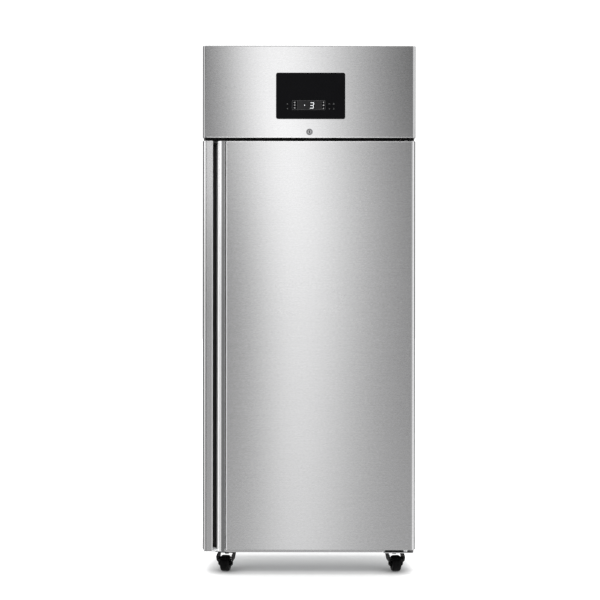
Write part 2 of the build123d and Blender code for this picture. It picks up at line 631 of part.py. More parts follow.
skin_out = door_block(U_SKIN, W, 0, DOOR_T, Z_DOOR0, Z_DOOR1, 17.0, 11.0, 6.0, 2.0)
skin_in = door_block(U_SKIN + 1, W - 1, 1, DOOR_T - 1, Z_DOOR0 + 1, Z_DOOR1 - 1, 16.0, 10.0, 5.0, 1.0)
skin = skin_out - skin_in
skin = skin - prism(uv([(60, 58.5), (W - 26, 58.5), (W - 26, 62), (60, 62)]), 0, "z", Z_DOOR0 + 14, Z_DOOR1 - 22)
skin = skin - prism(uv([(80, 20), (89.0, 20), (89.0, 62), (80, 62)]), 0, "z", Z_DOOR0 + 1, Z_DOOR1 - 1)
lock_slot = bx(LOCK_X - 9, LOCK_X + 29, -395, -386, 1638, 1652)
bush_top = cz(HINGE_X, HINGE_Y, 1622, 1655, 10)
bush_low = cz(HINGE_X, HINGE_Y, 92, 124, 10)
skin = skin - lock_slot - bush_top - bush_low
keep("door_skin", skin)

# inner door panel: flat rim with a raised middle towards the storage space
V_LINER = DOOR_T - 2.0
liner_d = prism(uv([(2.5, V_LINER), (W - 1, V_LINER), (W - 1, V_LINER + 1), (2.5, V_LINER + 1)]), 0, "z", Z_DOOR0 + 2.2, Z_DOOR1 - 2.2)
liner_d = liner_d - prism(uv([(W - 12, 52), (W + 2, 52), (W + 2, 62), (W - 12, 62)]), 0, "z", 90, 1660)
PL_X, PL_Z0, PL_Z1 = 334.0, 152.0, 1583.0
plat_out = prism(rect(-PL_X, PL_X, PL_Z0, PL_Z1), 22, "y", Y_FACE + V_LINER, Y_FACE + 67)
back_rim = [e for e in plat_out.edges() if e.bounding_box().min.Y > Y_FACE + 66.9]
plat_out = fillet(back_rim, 4.0)
plat_in = prism(rect(-PL_X + 1, PL_X - 1, PL_Z0 + 1, PL_Z1 - 1), 21, "y", Y_FACE + V_LINER - 1, Y_FACE + 66)
back_rim = [e for e in plat_in.edges() if e.bounding_box().min.Y > Y_FACE + 65.9]
plat_in = fillet(back_rim, 3.0)
liner_d = liner_d + plat_out - plat_in
keep("door_liner", liner_d)

# foam core of the door
skin_keepout = prism(uv([(U_SKIN, -1), (U_SKIN + 5, -1), (U_SKIN + 5, 70), (U_SKIN, 70)]), 0, "z", 90, 1660)
foam_pts = uv([
    (2.5, V_LINER), (2.5, 42.5), (52.5, 42.5), (52.5, off_v(52.5)), (83, off_v(83)),
    (83, 20), (U_SKIN + 1, 20), (U_SKIN + 1, V_LINER),
])
foam_left = prism(foam_pts, [0, 0, 5.5, 30.9, 0.8, 0, 0, 0], "z", Z_DOOR0 + 1, Z_DOOR1 - 1)
foam_main = skin_in - prism(uv([(0, V_LINER), (W + 5, V_LINER), (W + 5, 70), (0, 70)]), 0, "z", 90, 1660)
foam_main = foam_main - prism(uv([(W - 9, 50.9), (W + 2, 50.9), (W + 2, 62), (W - 9, 62)]), 0, "z", 90, 1660)
# thin covers over the foam behind the grip, top and bottom
left_covers = [
    prism(foam_pts, [0, 0, 5.5, 30.9, 0.8, 0, 0, 0], "z", Z_DOOR0, Z_DOOR0 + 1),
    prism(foam_pts, [0, 0, 5.5, 30.9, 0.8, 0, 0, 0], "z", Z_DOOR1 - 1, Z_DOOR1),
]
left_covers = [c - skin_keepout for c in left_covers]
keep("handle_end_caps", group(low_plug, top_plug, *left_covers))
door_foam = foam_left + foam_main + (plat_in - bx(-XS, XS, Y_FACE, Y_FACE + V_LINER, 90, 1660))
door_foam = door_foam - lock_slot - bush_top - bush_low
keep("door_foam", door_foam)

# magnetic gasket: bellows ring on the inner panel
gk_x0, gk_x1, gk_z0, gk_z1 = -366.0, 366.0, 112.0, 1618.0


def gasket_layer(inset, y0, y1):
    o = prism(rect(gk_x0 + inset, gk_x1 - inset, gk_z0 + inset, gk_z1 - inset), 4, "y", y0, y1)
    w = 20.0 - inset
    i = prism(rect(gk_x0 + w, gk_x1 - w, gk_z0 + w, gk_z1 - w), 2, "y", y0 - 1, y1 + 1)
    return o - i


g0 = Y_FACE + DOOR_T - 1
gasket = gasket_layer(0.0, g0, g0 + 4) + gasket_layer(3.0, g0 + 4, g0 + 6.5)
gasket = gasket + gasket_layer(0.0, g0 + 6.5, Y_BODY - 0.4)
keep("door_gasket", gasket)


def bush(z0, z1, flange_z0, flange_z1):
    b = cz(HINGE_X, HINGE_Y, z0, z1, 10) + cz(HINGE_X, HINGE_Y, flange_z0, flange_z1, 13)
    return b - cz(HINGE_X, HINGE_Y, z0 - 5, z1 + 5, 5.06)


keep(
    "hinge_bushes",
    group(
        bush(1622, Z_DOOR1, Z_DOOR1, Z_DOOR1 + 1.8),
        bush(Z_DOOR0, 124, Z_DOOR0 - 1.6, Z_DOOR0),
    ),
)

# ---------------------------------------------------------------- casters
def at(shape, name):
    x, y, a = CASTERS[name]
    return Pos(x, y, 0) * (Rot(0, 0, a) * shape)


def caster_plate():
    plate = prism(rect(-46, 46, -32, 32), 8, "z", 75.5, Z_BASE)
    pin = cz(0, 0, 63.5, 77, 5.0)
    hexa = prism([(8.2 * math.cos(math.radians(60 * k)), 8.2 * math.sin(math.radians(60 * k))) for k in range(6)], 0, "z", 63, 70.5)
    return plate + pin + hexa


plates = []
for nm, (x, y, a) in CASTERS.items():
    plates.append(drill(Pos(x, y, 0) * caster_plate()))
keep("caster_plates", group(*plates))

fork_pts = [(-31, 73.5), (-30.4, 44), (-24.2, 33), (-24.2, 16), (-21.6, 16), (-21.6, 33.6), (-27.8, 44.6), (-28.4, 71),
            (28.4, 71), (27.8, 44.6), (21.6, 33.6), (21.6, 16), (24.2, 16), (24.2, 33), (30.4, 44), (31, 73.5)]
fork_rad = [4, 5, 4, 0, 0, 4, 4, 1.5, 1.5, 4, 4, 0, 0, 4, 5, 4]
fork_plate = prism(fork_pts, fork_rad, "y", -60, 60)
side_view = prism(
    [(24, 80), (24, 64), (-15, 23), (-25, 20), (-36, 25), (-40, 38), (-52, 51), (-53, 61), (-43, 67.5), (-29, 70), (-27, 80)],
    [0, 8, 5, 7, 6, 8, 4, 4, 4, 3, 0], "x", -60, 60,
)
fork = fork_plate & side_view
fork = fork + cz(0, 0, 73, 75.2, 21)
fork = fork - cz(0, 0, 60, 80, 5.06)
fork = fork - cx(-TRAIL, WHEEL_R, -40, 40, 4.0)
axle = cx(-TRAIL, WHEEL_R, -27.8, 27.8, 4.0)
axle = axle + cx(-TRAIL, WHEEL_R, 24.2, 27.8, 6.5) + cx(-TRAIL, WHEEL_R, -27.8, -24.2, 6.5)
BRAKE_Y, BRAKE_Z = -47.0, 58.0
fork_brake = fork - cx(BRAKE_Y, BRAKE_Z, -40, 40, 1.8)
brake_pin = cx(BRAKE_Y, BRAKE_Z, -32.5, 32.5, 1.8)

tyre_pts = [(21, -17.2), (26, -18), (31, -12), (31, 12), (26, 18), (21, 17.2)]
wheel_profile = outline_edges([(p[0], 0, p[1]) for p in tyre_pts], [0, 6, 9.5, 9.5, 6, 0])
tyre = revolve(Face(Wire(wheel_profile)), axis=Axis((0, 0, 0), (0, 0, 1)))
tyre = Pos(0, -TRAIL, WHEEL_R) * (Rot(0, 90, 0) * tyre)
hub = cx(-TRAIL, WHEEL_R, -17.2, 17.2, 21) + cx(-TRAIL, WHEEL_R, -21.0, 21.0, 9)
hub = hub - (cx(-TRAIL, WHEEL_R, 13.5, 19, 18) - cx(-TRAIL, WHEEL_R, 12.5, 20, 9))
hub = hub - (cx(-TRAIL, WHEEL_R, -19, -13.5, 18) - cx(-TRAIL, WHEEL_R, -20, -12.5, 9))
hub = hub - cx(-TRAIL, WHEEL_R, -24, 24, 4.06)

# brake pedal at the top of the wheel: eye round the cross pin, sloping toe, lobe that faces the tread
pedal_pts = [(-46.0, 60.7), (-50.0, 61.0), (-64.0, 54.6), (-63.0, 52.2), (-53.6, 56.0), (-53.2, 51.2), (-50.8, 51.2), (-49.4, 55.4)]
pedal = prism(pedal_pts, [0.6, 2, 0.8, 0.8, 1.0, 0.8, 0.8, 0.5], "x", -22.0, 22.0) + cx(BRAKE_Y, BRAKE_Z, -22.0, 22.0, 3.0)
pedal = pedal - cx(BRAKE_Y, BRAKE_Z, -30, 30, 1.86)

for nm in CASTERS:
    front = nm.startswith("front")
    f = fork_brake if front else fork
    things = [at(f, nm), at(axle, nm)]
    if front:
        things.append(at(brake_pin, nm))
        keep("brake_pedal_" + nm, at(pedal, nm))
    keep("caster_fork_" + nm, group(*things))
    keep("caster_wheel_" + nm, group(at(tyre, nm), at(hub, nm)))

keep("cabinet_screws", group(*[screw_solid(*s) for s in screws]))

# ---------------------------------------------------------------- write
for name, shape in NODES.items():
    n = len(shape.solids())
    print(name, n, [round(c, 1) for c in shape.bounding_box().min], [round(c, 1) for c in shape.bounding_box().max])
    export_step(shape, "parts/" + name + ".step")
print(len(NODES), "nodes")
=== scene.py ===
import bpy
import bmesh
import math
from mathutils import Matrix, Vector


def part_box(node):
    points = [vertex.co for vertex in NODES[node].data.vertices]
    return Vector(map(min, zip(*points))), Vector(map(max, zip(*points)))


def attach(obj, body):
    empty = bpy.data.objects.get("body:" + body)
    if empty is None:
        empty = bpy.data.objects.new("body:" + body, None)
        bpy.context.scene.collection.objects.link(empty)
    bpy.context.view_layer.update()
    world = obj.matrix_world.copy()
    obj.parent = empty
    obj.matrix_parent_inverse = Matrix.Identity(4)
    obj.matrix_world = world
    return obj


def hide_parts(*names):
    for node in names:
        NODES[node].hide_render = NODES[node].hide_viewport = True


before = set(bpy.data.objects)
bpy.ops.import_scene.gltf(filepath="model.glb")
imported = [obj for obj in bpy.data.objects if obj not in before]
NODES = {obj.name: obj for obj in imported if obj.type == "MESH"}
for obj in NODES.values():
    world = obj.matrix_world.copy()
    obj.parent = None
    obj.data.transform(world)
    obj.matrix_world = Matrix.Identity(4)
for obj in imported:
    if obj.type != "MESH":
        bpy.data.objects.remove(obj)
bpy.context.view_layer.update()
MM = 0.001


# ------------------------------------------------------------------ camera
# Straight at the front from 5 m before the front plane, at mid height, level.
cam_data = bpy.data.cameras.new("camera")
cam = bpy.data.objects.new("camera", cam_data)
bpy.context.scene.collection.objects.link(cam)
cam.location = (-0.034, -5.415, 1.046)
cam.rotation_euler = (math.radians(90), math.radians(-0.06), 0)
cam_data.sensor_width = 36.0
cam_data.lens = 79.12
cam_data.clip_start = 0.05
cam_data.clip_end = 100.0
bpy.context.scene.camera = cam

scene = bpy.context.scene
scene.view_settings.view_transform = "Standard"
scene.view_settings.look = "None"
scene.view_settings.exposure = 0.0
scene.view_settings.gamma = 1.0


# ------------------------------------------------------------------ node helpers
def nd(tree, kind, **props):
    n = tree.nodes.new(kind)
    for k, v in props.items():
        setattr(n, k, v)
    return n


def math_node(tree, op, a, b=None, c=None, clamp=False):
    n = nd(tree, "ShaderNodeMath", operation=op)
    n.use_clamp = clamp
    for i, v in enumerate((a, b, c)):
        if v is None:
            continue
        if isinstance(v, (int, float)):
            n.inputs[i].default_value = v
        else:
            tree.links.new(v, n.inputs[i])
    return n.outputs[0]


def object_vector(tree, scale=(1, 1, 1)):
    tc = nd(tree, "ShaderNodeTexCoord")
    mp = nd(tree, "ShaderNodeMapping")
    mp.inputs["Scale"].default_value = scale
    tree.links.new(tc.outputs["Object"], mp.inputs["Vector"])
    return mp.outputs["Vector"]


def noise(tree, vec, scale, detail=2.0, roughness=0.5, distortion=0.0):
    n = nd(tree, "ShaderNodeTexNoise")
    n.inputs["Scale"].default_value = scale
    n.inputs["Detail"].default_value = detail
    n.inputs["Roughness"].default_value = roughness
    n.inputs["Distortion"].default_value = distortion
    tree.links.new(vec, n.inputs["Vector"])
    return n.outputs["Fac"]


def ramp(tree, fac, stops, interpolation="LINEAR"):
    n = nd(tree, "ShaderNodeValToRGB")
    cr = n.color_ramp
    cr.interpolation = interpolation
    while len(cr.elements) > 1:
        cr.elements.remove(cr.elements[-1])
    for i, (pos, value) in enumerate(stops):
        e = cr.elements[0] if i == 0 else cr.elements.new(pos)
        e.position = pos
        if isinstance(value, (int, float)):
            value = (value, value, value)
        e.color = (*value, 1.0)
    tree.links.new(fac, n.inputs["Fac"])
    return n.outputs["Color"]


def map_range(tree, fac, a, b, c, d):
    n = nd(tree, "ShaderNodeMapRange")
    for i, v in enumerate((a, b, c, d)):
        n.inputs[i + 1].default_value = v
    tree.links.new(fac, n.inputs[0])
    return n.outputs[0]


def mix_colour(tree, fac, a, b):
    n = nd(tree, "ShaderNodeMix", data_type="RGBA")
    for sock, v in ((n.inputs[0], fac), (n.inputs[6], a), (n.inputs[7], b)):
        if isinstance(v, (int, float)):
            sock.default_value = v
        elif isinstance(v, (tuple, list)):
            sock.default_value = (*v[:3], 1.0)
        else:
            tree.links.new(v, sock)
    return n.outputs[2]


def bump(tree, height, strength, distance, normal=None):
    n = nd(tree, "ShaderNodeBump")
    n.inputs["Strength"].default_value = strength
    n.inputs["Distance"].default_value = distance
    tree.links.new(height, n.inputs["Height"])
    if normal is not None:
        tree.links.new(normal, n.inputs["Normal"])
    return n.outputs["Normal"]


def material(name, **values):
    m = bpy.data.materials.new(name)
    m.use_nodes = True
    b = m.node_tree.nodes["Principled BSDF"]
    for k, v in values.items():
        sock = b.inputs[k.replace("_", " ")]
        if hasattr(sock.default_value, "__len__"):
            sock.default_value = (*v[:3], 1.0) if len(sock.default_value) == 4 else v
        else:
            sock.default_value = v
    return m, m.node_tree, b


def shades(colour, amount):
    return [c * (1 - amount) for c in colour], [min(1.0, c * (1 + amount)) for c in colour]


# ------------------------------------------------------------------ materials
def brushed(name, colour, rough, aniso, along="x", streak=0.088, wave=0.00004, grain=0.000012, tangent=True, painted_light_by_height=None):
    """Ground stainless sheet: fine grain one way, long soft streaks, a little sheet waviness."""
    m, t, b = material(name, Base_Color=colour, Metallic=1.0, Roughness=rough)
    b.inputs["Anisotropic"].default_value = aniso
    b.inputs["Anisotropic Rotation"].default_value = 0.25 if along in "xy" else 0.0
    if along == "x":
        fine, mid = (90, 260, 340), (13, 180, 270)
    elif along == "y":
        fine, mid = (260, 90, 340), (180, 13, 270)
    else:
        fine, mid = (900, 900, 5), (130, 130, 2.2)
    f = noise(t, object_vector(t, fine), 1.0, 3.0, 0.6)
    s = noise(t, object_vector(t, mid), 1.0, 3.0, 0.55)
    big = noise(t, object_vector(t), 2.3, 2.0, 0.5)
    both = math_node(t, "ADD", math_node(t, "MULTIPLY", f, 0.75), math_node(t, "MULTIPLY", s, 0.25))
    dark, light = shades(colour, streak)
    tone = mix_colour(t, map_range(t, both, 0.3, 0.7, 0.0, 1.0), dark, light)
    if painted_light_by_height:
        # a coarser ground strip, with painted light: the base colour is multiplied by a gain that rises with height, so
        # it is brighter towards its upper end
        sep_ = nd(t, "ShaderNodeSeparateXYZ")
        t.links.new(object_vector(t), sep_.inputs[0])
        painted_light_gain = ramp(t, map_range(t, sep_.outputs[2], 0.0, 2.0, 0.0, 1.0), [(z_ / 2.0, v_ / 2.0) for z_, v_ in painted_light_by_height])
        mul = nd(t, "ShaderNodeMix", data_type="RGBA", blend_type="MULTIPLY")
        mul.inputs[0].default_value = 1.0
        t.links.new(tone, mul.inputs[6])
        t.links.new(painted_light_gain, mul.inputs[7])
        dbl = nd(t, "ShaderNodeMix", data_type="RGBA", blend_type="ADD")
        dbl.inputs[0].default_value = 1.0
        t.links.new(mul.outputs[2], dbl.inputs[6])
        t.links.new(mul.outputs[2], dbl.inputs[7])
        tone = dbl.outputs[2]
    t.links.new(tone, b.inputs["Base Color"])
    r = math_node(t, "ADD", map_range(t, both, 0.3, 0.7, -0.012, 0.012), map_range(t, big, 0.3, 0.7, rough - 0.004, rough + 0.004))
    t.links.new(r, b.inputs["Roughness"])
    n1 = bump(t, big, 1.0, wave)
    n2 = bump(t, f, 1.0, grain, n1)
    t.links.new(n2, b.inputs["Normal"])
    if tangent:
        tg = nd(t, "ShaderNodeTangent", direction_type="RADIAL", axis="Z")
        t.links.new(tg.outputs["Tangent"], b.inputs["Tangent"])
    return m


def galvanised(name, colour, rough=0.38):
    """Zinc coated sheet with faint spangle."""
    m, t, b = material(name, Base_Color=colour, Metallic=1.0, Roughness=rough)
    v = nd(t, "ShaderNodeTexVoronoi")
    v.inputs["Scale"].default_value = 90.0
    t.links.new(object_vector(t), v.inputs["Vector"])
    grey = nd(t, "ShaderNodeSeparateColor")
    t.links.new(v.outputs["Color"], grey.inputs["Color"])
    fine = noise(t, object_vector(t), 260.0, 3.0, 0.6)
    fac = math_node(t, "ADD", math_node(t, "MULTIPLY", grey.outputs[0], 0.75), math_node(t, "MULTIPLY", fine, 0.25))
    dark, light = shades(colour, 0.10)
    t.links.new(mix_colour(t, fac, dark, light), b.inputs["Base Color"])
    t.links.new(map_range(t, grey.outputs[1], 0.0, 1.0, rough - 0.07, rough + 0.07), b.inputs["Roughness"])
    t.links.new(bump(t, fine, 0.6, 0.00005), b.inputs["Normal"])
    return m


def grainy(name, colour, rough, scale=900.0, depth=0.00006, vary=0.08, **more):
    """Moulded plastic, rubber or paint with a fine grain and slight colour variation."""
    m, t, b = material(name, Base_Color=colour, Roughness=rough, **more)
    f = noise(t, object_vector(t), scale, 3.0, 0.55)
    g = noise(t, object_vector(t), 28.0, 3.0, 0.55)
    dark, light = shades(colour, vary)
    t.links.new(mix_colour(t, map_range(t, g, 0.3, 0.7, 0.0, 1.0), dark, light), b.inputs["Base Color"])
    t.links.new(map_range(t, g, 0.3, 0.7, rough - 0.05, rough + 0.05), b.inputs["Roughness"])
    t.links.new(bump(t, f, 0.8, depth), b.inputs["Normal"])
    return m


def plated(name, colour, rough=0.12):
    m, t, b = material(name, Base_Color=colour, Metallic=1.0, Roughness=rough)
    g = noise(t, object_vector(t), 60.0, 4.0, 0.6)
    dark, light = shades(colour, 0.05)
    t.links.new(mix_colour(t, map_range(t, g, 0.3, 0.7, 0.0, 1.0), dark, light), b.inputs["Base Color"])
    t.links.new(map_range(t, g, 0.3, 0.7, rough - 0.03, rough + 0.05), b.inputs["Roughness"])
    return m


def copper(name):
    m, t, b = material(name, Base_Color=(0.72, 0.36, 0.20), Metallic=1.0, Roughness=0.3)
    g = noise(t, object_vector(t), 35.0, 5.0, 0.6)
    t.links.new(ramp(t, g, [(0.3, (0.42, 0.19, 0.10)), (0.5, (0.66, 0.34, 0.20)), (0.7, (0.80, 0.46, 0.29))]), b.inputs["Base Color"])
    t.links.new(map_range(t, g, 0.3, 0.7, 0.42, 0.22), b.inputs["Roughness"])
    return m


M = {}
M["steel_front"] = brushed("steel_front", (0.62, 0.62, 0.625), 0.13, 0.7, "x")
M["steel_panel"] = brushed("steel_panel", (0.60, 0.60, 0.605), 0.105, 0.7, "x")
M["steel_side"] = brushed("steel_side", (0.60, 0.60, 0.605), 0.27, 0.85, "x")
M["steel_roof"] = brushed("steel_roof", (0.60, 0.60, 0.605), 0.34, 0.0, "x", streak=0.06, tangent=False)
M["steel_sheet"] = brushed("steel_sheet", (0.60, 0.60, 0.605), 0.27, 0.85, "y", streak=0.06)
M["steel_inner"] = brushed("steel_inner", (0.66, 0.66, 0.665), 0.30, 0.4, "x", streak=0.03, wave=0.0003)
# the grip is painted lighter towards its upper end, painted light given as (height in m, gain) stops
M["handle_steel"] = brushed("handle_steel", (0.60, 0.60, 0.605), 0.14, 0.4, "z", streak=0.03, wave=0.00002, grain=0.000004,
                             painted_light_by_height=[(0.3, 0.98), (1.0, 1.06), (1.25, 1.22), (1.45, 1.50), (1.62, 1.56)])
M["steel_fold"] = brushed("steel_fold", (0.42, 0.42, 0.425), 0.22, 0.5, "x", streak=0.05)
M["drip_steel"] = brushed("drip_steel", (0.57, 0.57, 0.575), 0.24, 0.4, "x", streak=0.05)
# a brighter copy of the steel, a painted highlight on the lower folded edges
M["fold_painted_highlight"] = brushed("fold_painted_highlight", (0.80, 0.80, 0.805), 0.16, 0.6, "x", streak=0.03)
# a near-white rough steel, a painted highlight on the door skin's left edge and the grip's lip
M["edge_painted_highlight"] = brushed("edge_painted_highlight", (0.96, 0.96, 0.965), 0.42, 0.0, "x", streak=0.02, wave=0.00002, tangent=False)
# a darkened copy of the steel, painted shade for the upper hinge bracket in the gap
M["bracket_steel"] = brushed("bracket_steel", (0.26, 0.26, 0.265), 0.34, 0.2, "x", streak=0.08)
M["bracket_bright"] = brushed("bracket_bright", (0.62, 0.62, 0.625), 0.38, 0.2, "x", streak=0.06)
M["galvanised"] = galvanised("galvanised", (0.58, 0.60, 0.61))
M["zinc"] = plated("zinc", (0.62, 0.63, 0.64), 0.28)
M["chrome"] = plated("chrome", (0.66, 0.66, 0.67), 0.10)
M["lock_metal"] = plated("lock_metal", (0.56, 0.56, 0.57), 0.24)
M["lock_rim"] = plated("lock_rim", (0.33, 0.33, 0.34), 0.26)
M["copper"] = copper("copper")
M["coil_aluminium"] = brushed("coil_aluminium", (0.72, 0.73, 0.74), 0.3, 0.0, "z", streak=0.06, tangent=False)
M["foam"] = grainy("foam", (0.90, 0.84, 0.62), 0.95, 220.0, 0.0006, 0.06)
M["black_glass"] = grainy("black_glass", (0.0035, 0.0035, 0.004), 0.14, 40.0, 0.000002, 0.1, Specular_IOR_Level=0.02)
M["black_plastic"] = grainy("black_plastic", (0.010, 0.010, 0.0105), 0.42, 900.0, 0.00005, Specular_IOR_Level=0.3)
M["grey_plastic"] = grainy("grey_plastic", (0.60, 0.60, 0.59), 0.36, 900.0, 0.00003, 0.03)
M["white_plastic"] = grainy("white_plastic", (0.80, 0.81, 0.82), 0.30, 900.0, 0.00002, 0.02)
M["lamp_plastic"] = grainy("lamp_plastic", (0.88, 0.90, 0.92), 0.25, 500.0, 0.00002, 0.01)
M["lamp_lit"] = grainy("lamp_lit", (0.88, 0.90, 0.92), 0.25, 500.0, 0.00002, 0.01, Emission_Color=(0.93, 0.97, 1.0), Emission_Strength=3.0)
M["gasket_rubber"] = grainy("gasket_rubber", (0.10, 0.10, 0.105), 0.55, 700.0, 0.00003, 0.05)
M["black_rubber"] = grainy("black_rubber", (0.014, 0.014, 0.014), 0.7, 600.0, 0.00008)
M["black_metal"] = grainy("black_metal", (0.002, 0.002, 0.0021), 0.40, 500.0, 0.00004, Specular_IOR_Level=0.055)
# three greys for painted shade and a painted highlight on the front edge of the grip's recess
M["recess_painted_shade"] = grainy("recess_painted_shade", (0.22, 0.22, 0.22), 0.5, 900.0, 0.00002, 0.03)
M["recess_painted_half_shade"] = grainy("recess_painted_half_shade", (0.24, 0.24, 0.24), 0.5, 900.0, 0.00002, 0.03)
M["recess_painted_highlight"] = grainy("recess_painted_highlight", (0.84, 0.84, 0.84), 0.4, 900.0, 0.00002, 0.02)
M["compressor_paint"] = grainy("compressor_paint", (0.012, 0.012, 0.013), 0.24, 140.0, 0.00006, Coat_Weight=0.3, Coat_Roughness=0.1)
M["tyre"] = grainy("tyre", (0.002, 0.002, 0.0021), 0.42, 700.0, 0.00004, Specular_IOR_Level=0.08)
M["hub_plastic"] = grainy("hub_plastic", (0.006, 0.006, 0.0063), 0.34, 700.0, 0.00003, Specular_IOR_Level=0.15)

LOOK = {
    "steel_front": ["door_skin"],
    "steel_panel": ["control_panel"],
    "steel_side": ["front_frame"],
    "steel_roof": ["roof_cover"],
    "steel_sheet": ["side_panel_left", "side_panel_right"],
    "handle_steel": ["handle_profile"],
    "steel_inner": ["inner_liner", "door_liner", "evaporator_cover", "shelf_pilasters", "shelf_slides"],
    "galvanised": ["rear_panel", "base_pan", "machine_deck", "rear_grille", "fan_shroud", "panel_pivots"],
    "foam": ["cabinet_foam", "door_foam"],
    "black_glass": ["display_glass"],
    "black_plastic": ["controller_module", "cable_gland", "door_switch", "condenser_fan_blade", "evaporator_fan_blade",
                      "evaporator_fan_motor", "condenser_fan_motor"],
    "grey_plastic": ["electrical_box"],
    "white_plastic": ["handle_end_caps", "evaporating_tray", "hinge_bushes"],
    "lamp_lit": ["interior_lamp"],
    "gasket_rubber": ["door_gasket"],
    "black_rubber": ["compressor_mounts"],
    "compressor_paint": ["compressor"],
    "black_metal": ["caster_fork_front_left", "caster_fork_front_right", "caster_fork_rear_left", "caster_fork_rear_right",
                    "brake_pedal_front_left", "brake_pedal_front_right"],
    "bracket_steel": ["hinge_bracket_top"],
    "bracket_bright": ["hinge_bracket_bottom"],
    "zinc": ["caster_plates", "cabinet_screws"],
    "lock_metal": ["lock_plug"],
    "lock_rim": ["lock_barrel"],
    "chrome": ["wire_shelf_lower", "wire_shelf_middle", "wire_shelf_upper", "temperature_probe"],
    "copper": ["pipework", "filter_drier"],
    "coil_aluminium": ["condenser_coil", "evaporator_coil"],
    "tyre": ["caster_wheel_front_left", "caster_wheel_front_right", "caster_wheel_rear_left", "caster_wheel_rear_right"],
}
for look, names in LOOK.items():
    for n in names:
        o = NODES[n]
        o.data.materials.clear()
        o.data.materials.append(M[look])



def paint_faces(node, look, test):
    """Gives the faces of a CAD node whose middle passes the test (in mm) a material of their own."""
    o = NODES[node]
    o.data.materials.append(M[look])
    i = len(o.data.materials) - 1
    for p in o.data.polygons:
        if test(p.center.x / MM, p.center.y / MM, p.center.z / MM, p.normal):
            p.material_index = i


# the finger recess behind the grip is painted black as its deep shade, its front edge in three greys by the turn of
# each face: painted shade and a painted highlight
paint_faces("handle_profile", "black_plastic",
            lambda x, y, z, n: -394.5 < x < -354.3 and -408.3 < y < -374.5 and 92.1 < z < 1649.3)
for look, n_lo, n_hi in (("recess_painted_shade", -1.1, -0.92), ("recess_painted_half_shade", -0.92, -0.79), ("recess_painted_highlight", -0.79, -0.60)):
    paint_faces("handle_profile", look,
                lambda x, y, z, n: -354.3 <= x < -341.0 and n_lo < n.x <= n_hi and y < -372.3 and 92.1 < z < 1649.3)
# the folded left edge of the door skin, a painted highlight in near-white steel
paint_faces("door_skin", "edge_painted_highlight", lambda x, y, z, n: x < -309.9 and y < -411.0 and -0.72 < n.x < -0.05 and abs(n.z) < 0.3)
# the door foam seen in the gap between the grip and the door skin is painted black as the gap's shade
paint_faces("door_foam", "black_plastic", lambda x, y, z, n: -322.0 < x < -313.0 and n.y < -0.9 and y < -394.0)
# the upper end cap is painted black where it closes the recess, as the recess's shade
paint_faces("handle_end_caps", "black_plastic", lambda x, y, z, n: z > 1000 and x < -341)
# the top of the lower hinge bracket is painted black as the shade under the door, its front edge is bare
paint_faces("hinge_bracket_bottom", "black_metal", lambda x, y, z, n: n.z > 0.9 and 86 < z < 93 and x < 388)
# the faces of the upper hinge bracket in the gap below the panel are painted black as shade
paint_faces("hinge_bracket_top", "black_metal", lambda x, y, z, n: z < 1661.0 and n.z < 0.5)
# the keyway of the lock, painted black as its shade
paint_faces("lock_plug", "black_plastic",
            lambda x, y, z, n: abs(x - 1.3) < 2.2 and abs(z - 1683.6) < 5.4 and -416.1 < y < -405)

# the hub inside each tyre is a plastic of its own
for n in LOOK["tyre"]:
    o = NODES[n]
    o.data.materials.append(M["hub_plastic"])
    lo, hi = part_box(n)
    c = (lo + hi) / 2
    for p in o.data.polygons:
        d = Vector((p.center.x - c.x, p.center.y - c.y, p.center.z - c.z))
        p.material_index = 1 if d.length < 0.0235 else 0


# ------------------------------------------------------------------ mesh helpers
def add_piece(name, bm, body, look, smooth=False, bevel=None):
    me = bpy.data.meshes.new(name)
    bmesh.ops.recalc_face_normals(bm, faces=bm.faces)
    bm.to_mesh(me)
    bm.free()
    o = bpy.data.objects.new(name, me)
    bpy.context.scene.collection.objects.link(o)
    me.materials.append(M[look])
    if smooth:
        for p in me.polygons:
            p.use_smooth = True
    if bevel:
        md = o.modifiers.new("bevel", "BEVEL")
        md.width = bevel
        md.segments = 2
        md.limit_method = "ANGLE"
        md.angle_limit = math.radians(40)
    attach(o, body)
    return o


def bm_box(bm, x0, x1, y0, y1, z0, z1):
    v = [bm.verts.new((x * MM, y * MM, z * MM)) for x in (x0, x1) for y in (y0, y1) for z in (z0, z1)]
    for f in ((0, 1, 3, 2), (4, 6, 7, 5), (0, 4, 5, 1), (2, 3, 7, 6), (0, 2, 6, 4), (1, 5, 7, 3)):
        bm.faces.new([v[i] for i in f])
    return v


def bm_prism(bm, points, axis, a0, a1):
    """Extruded outline in mm. axis y: (x, z); axis z: (x, y); axis x: (y, z)."""
    def at(p, a):
        if axis == "y":
            return Vector((p[0], a, p[1])) * MM
        if axis == "z":
            return Vector((p[0], p[1], a)) * MM
        return Vector((a, p[0], p[1])) * MM
    lo = [bm.verts.new(at(p, a0)) for p in points]
    hi = [bm.verts.new(at(p, a1)) for p in points]
    bm.faces.new(lo)
    bm.faces.new(list(reversed(hi)))
    n = len(points)
    for i in range(n):
        bm.faces.new((lo[i], hi[i], hi[(i + 1) % n], lo[(i + 1) % n]))


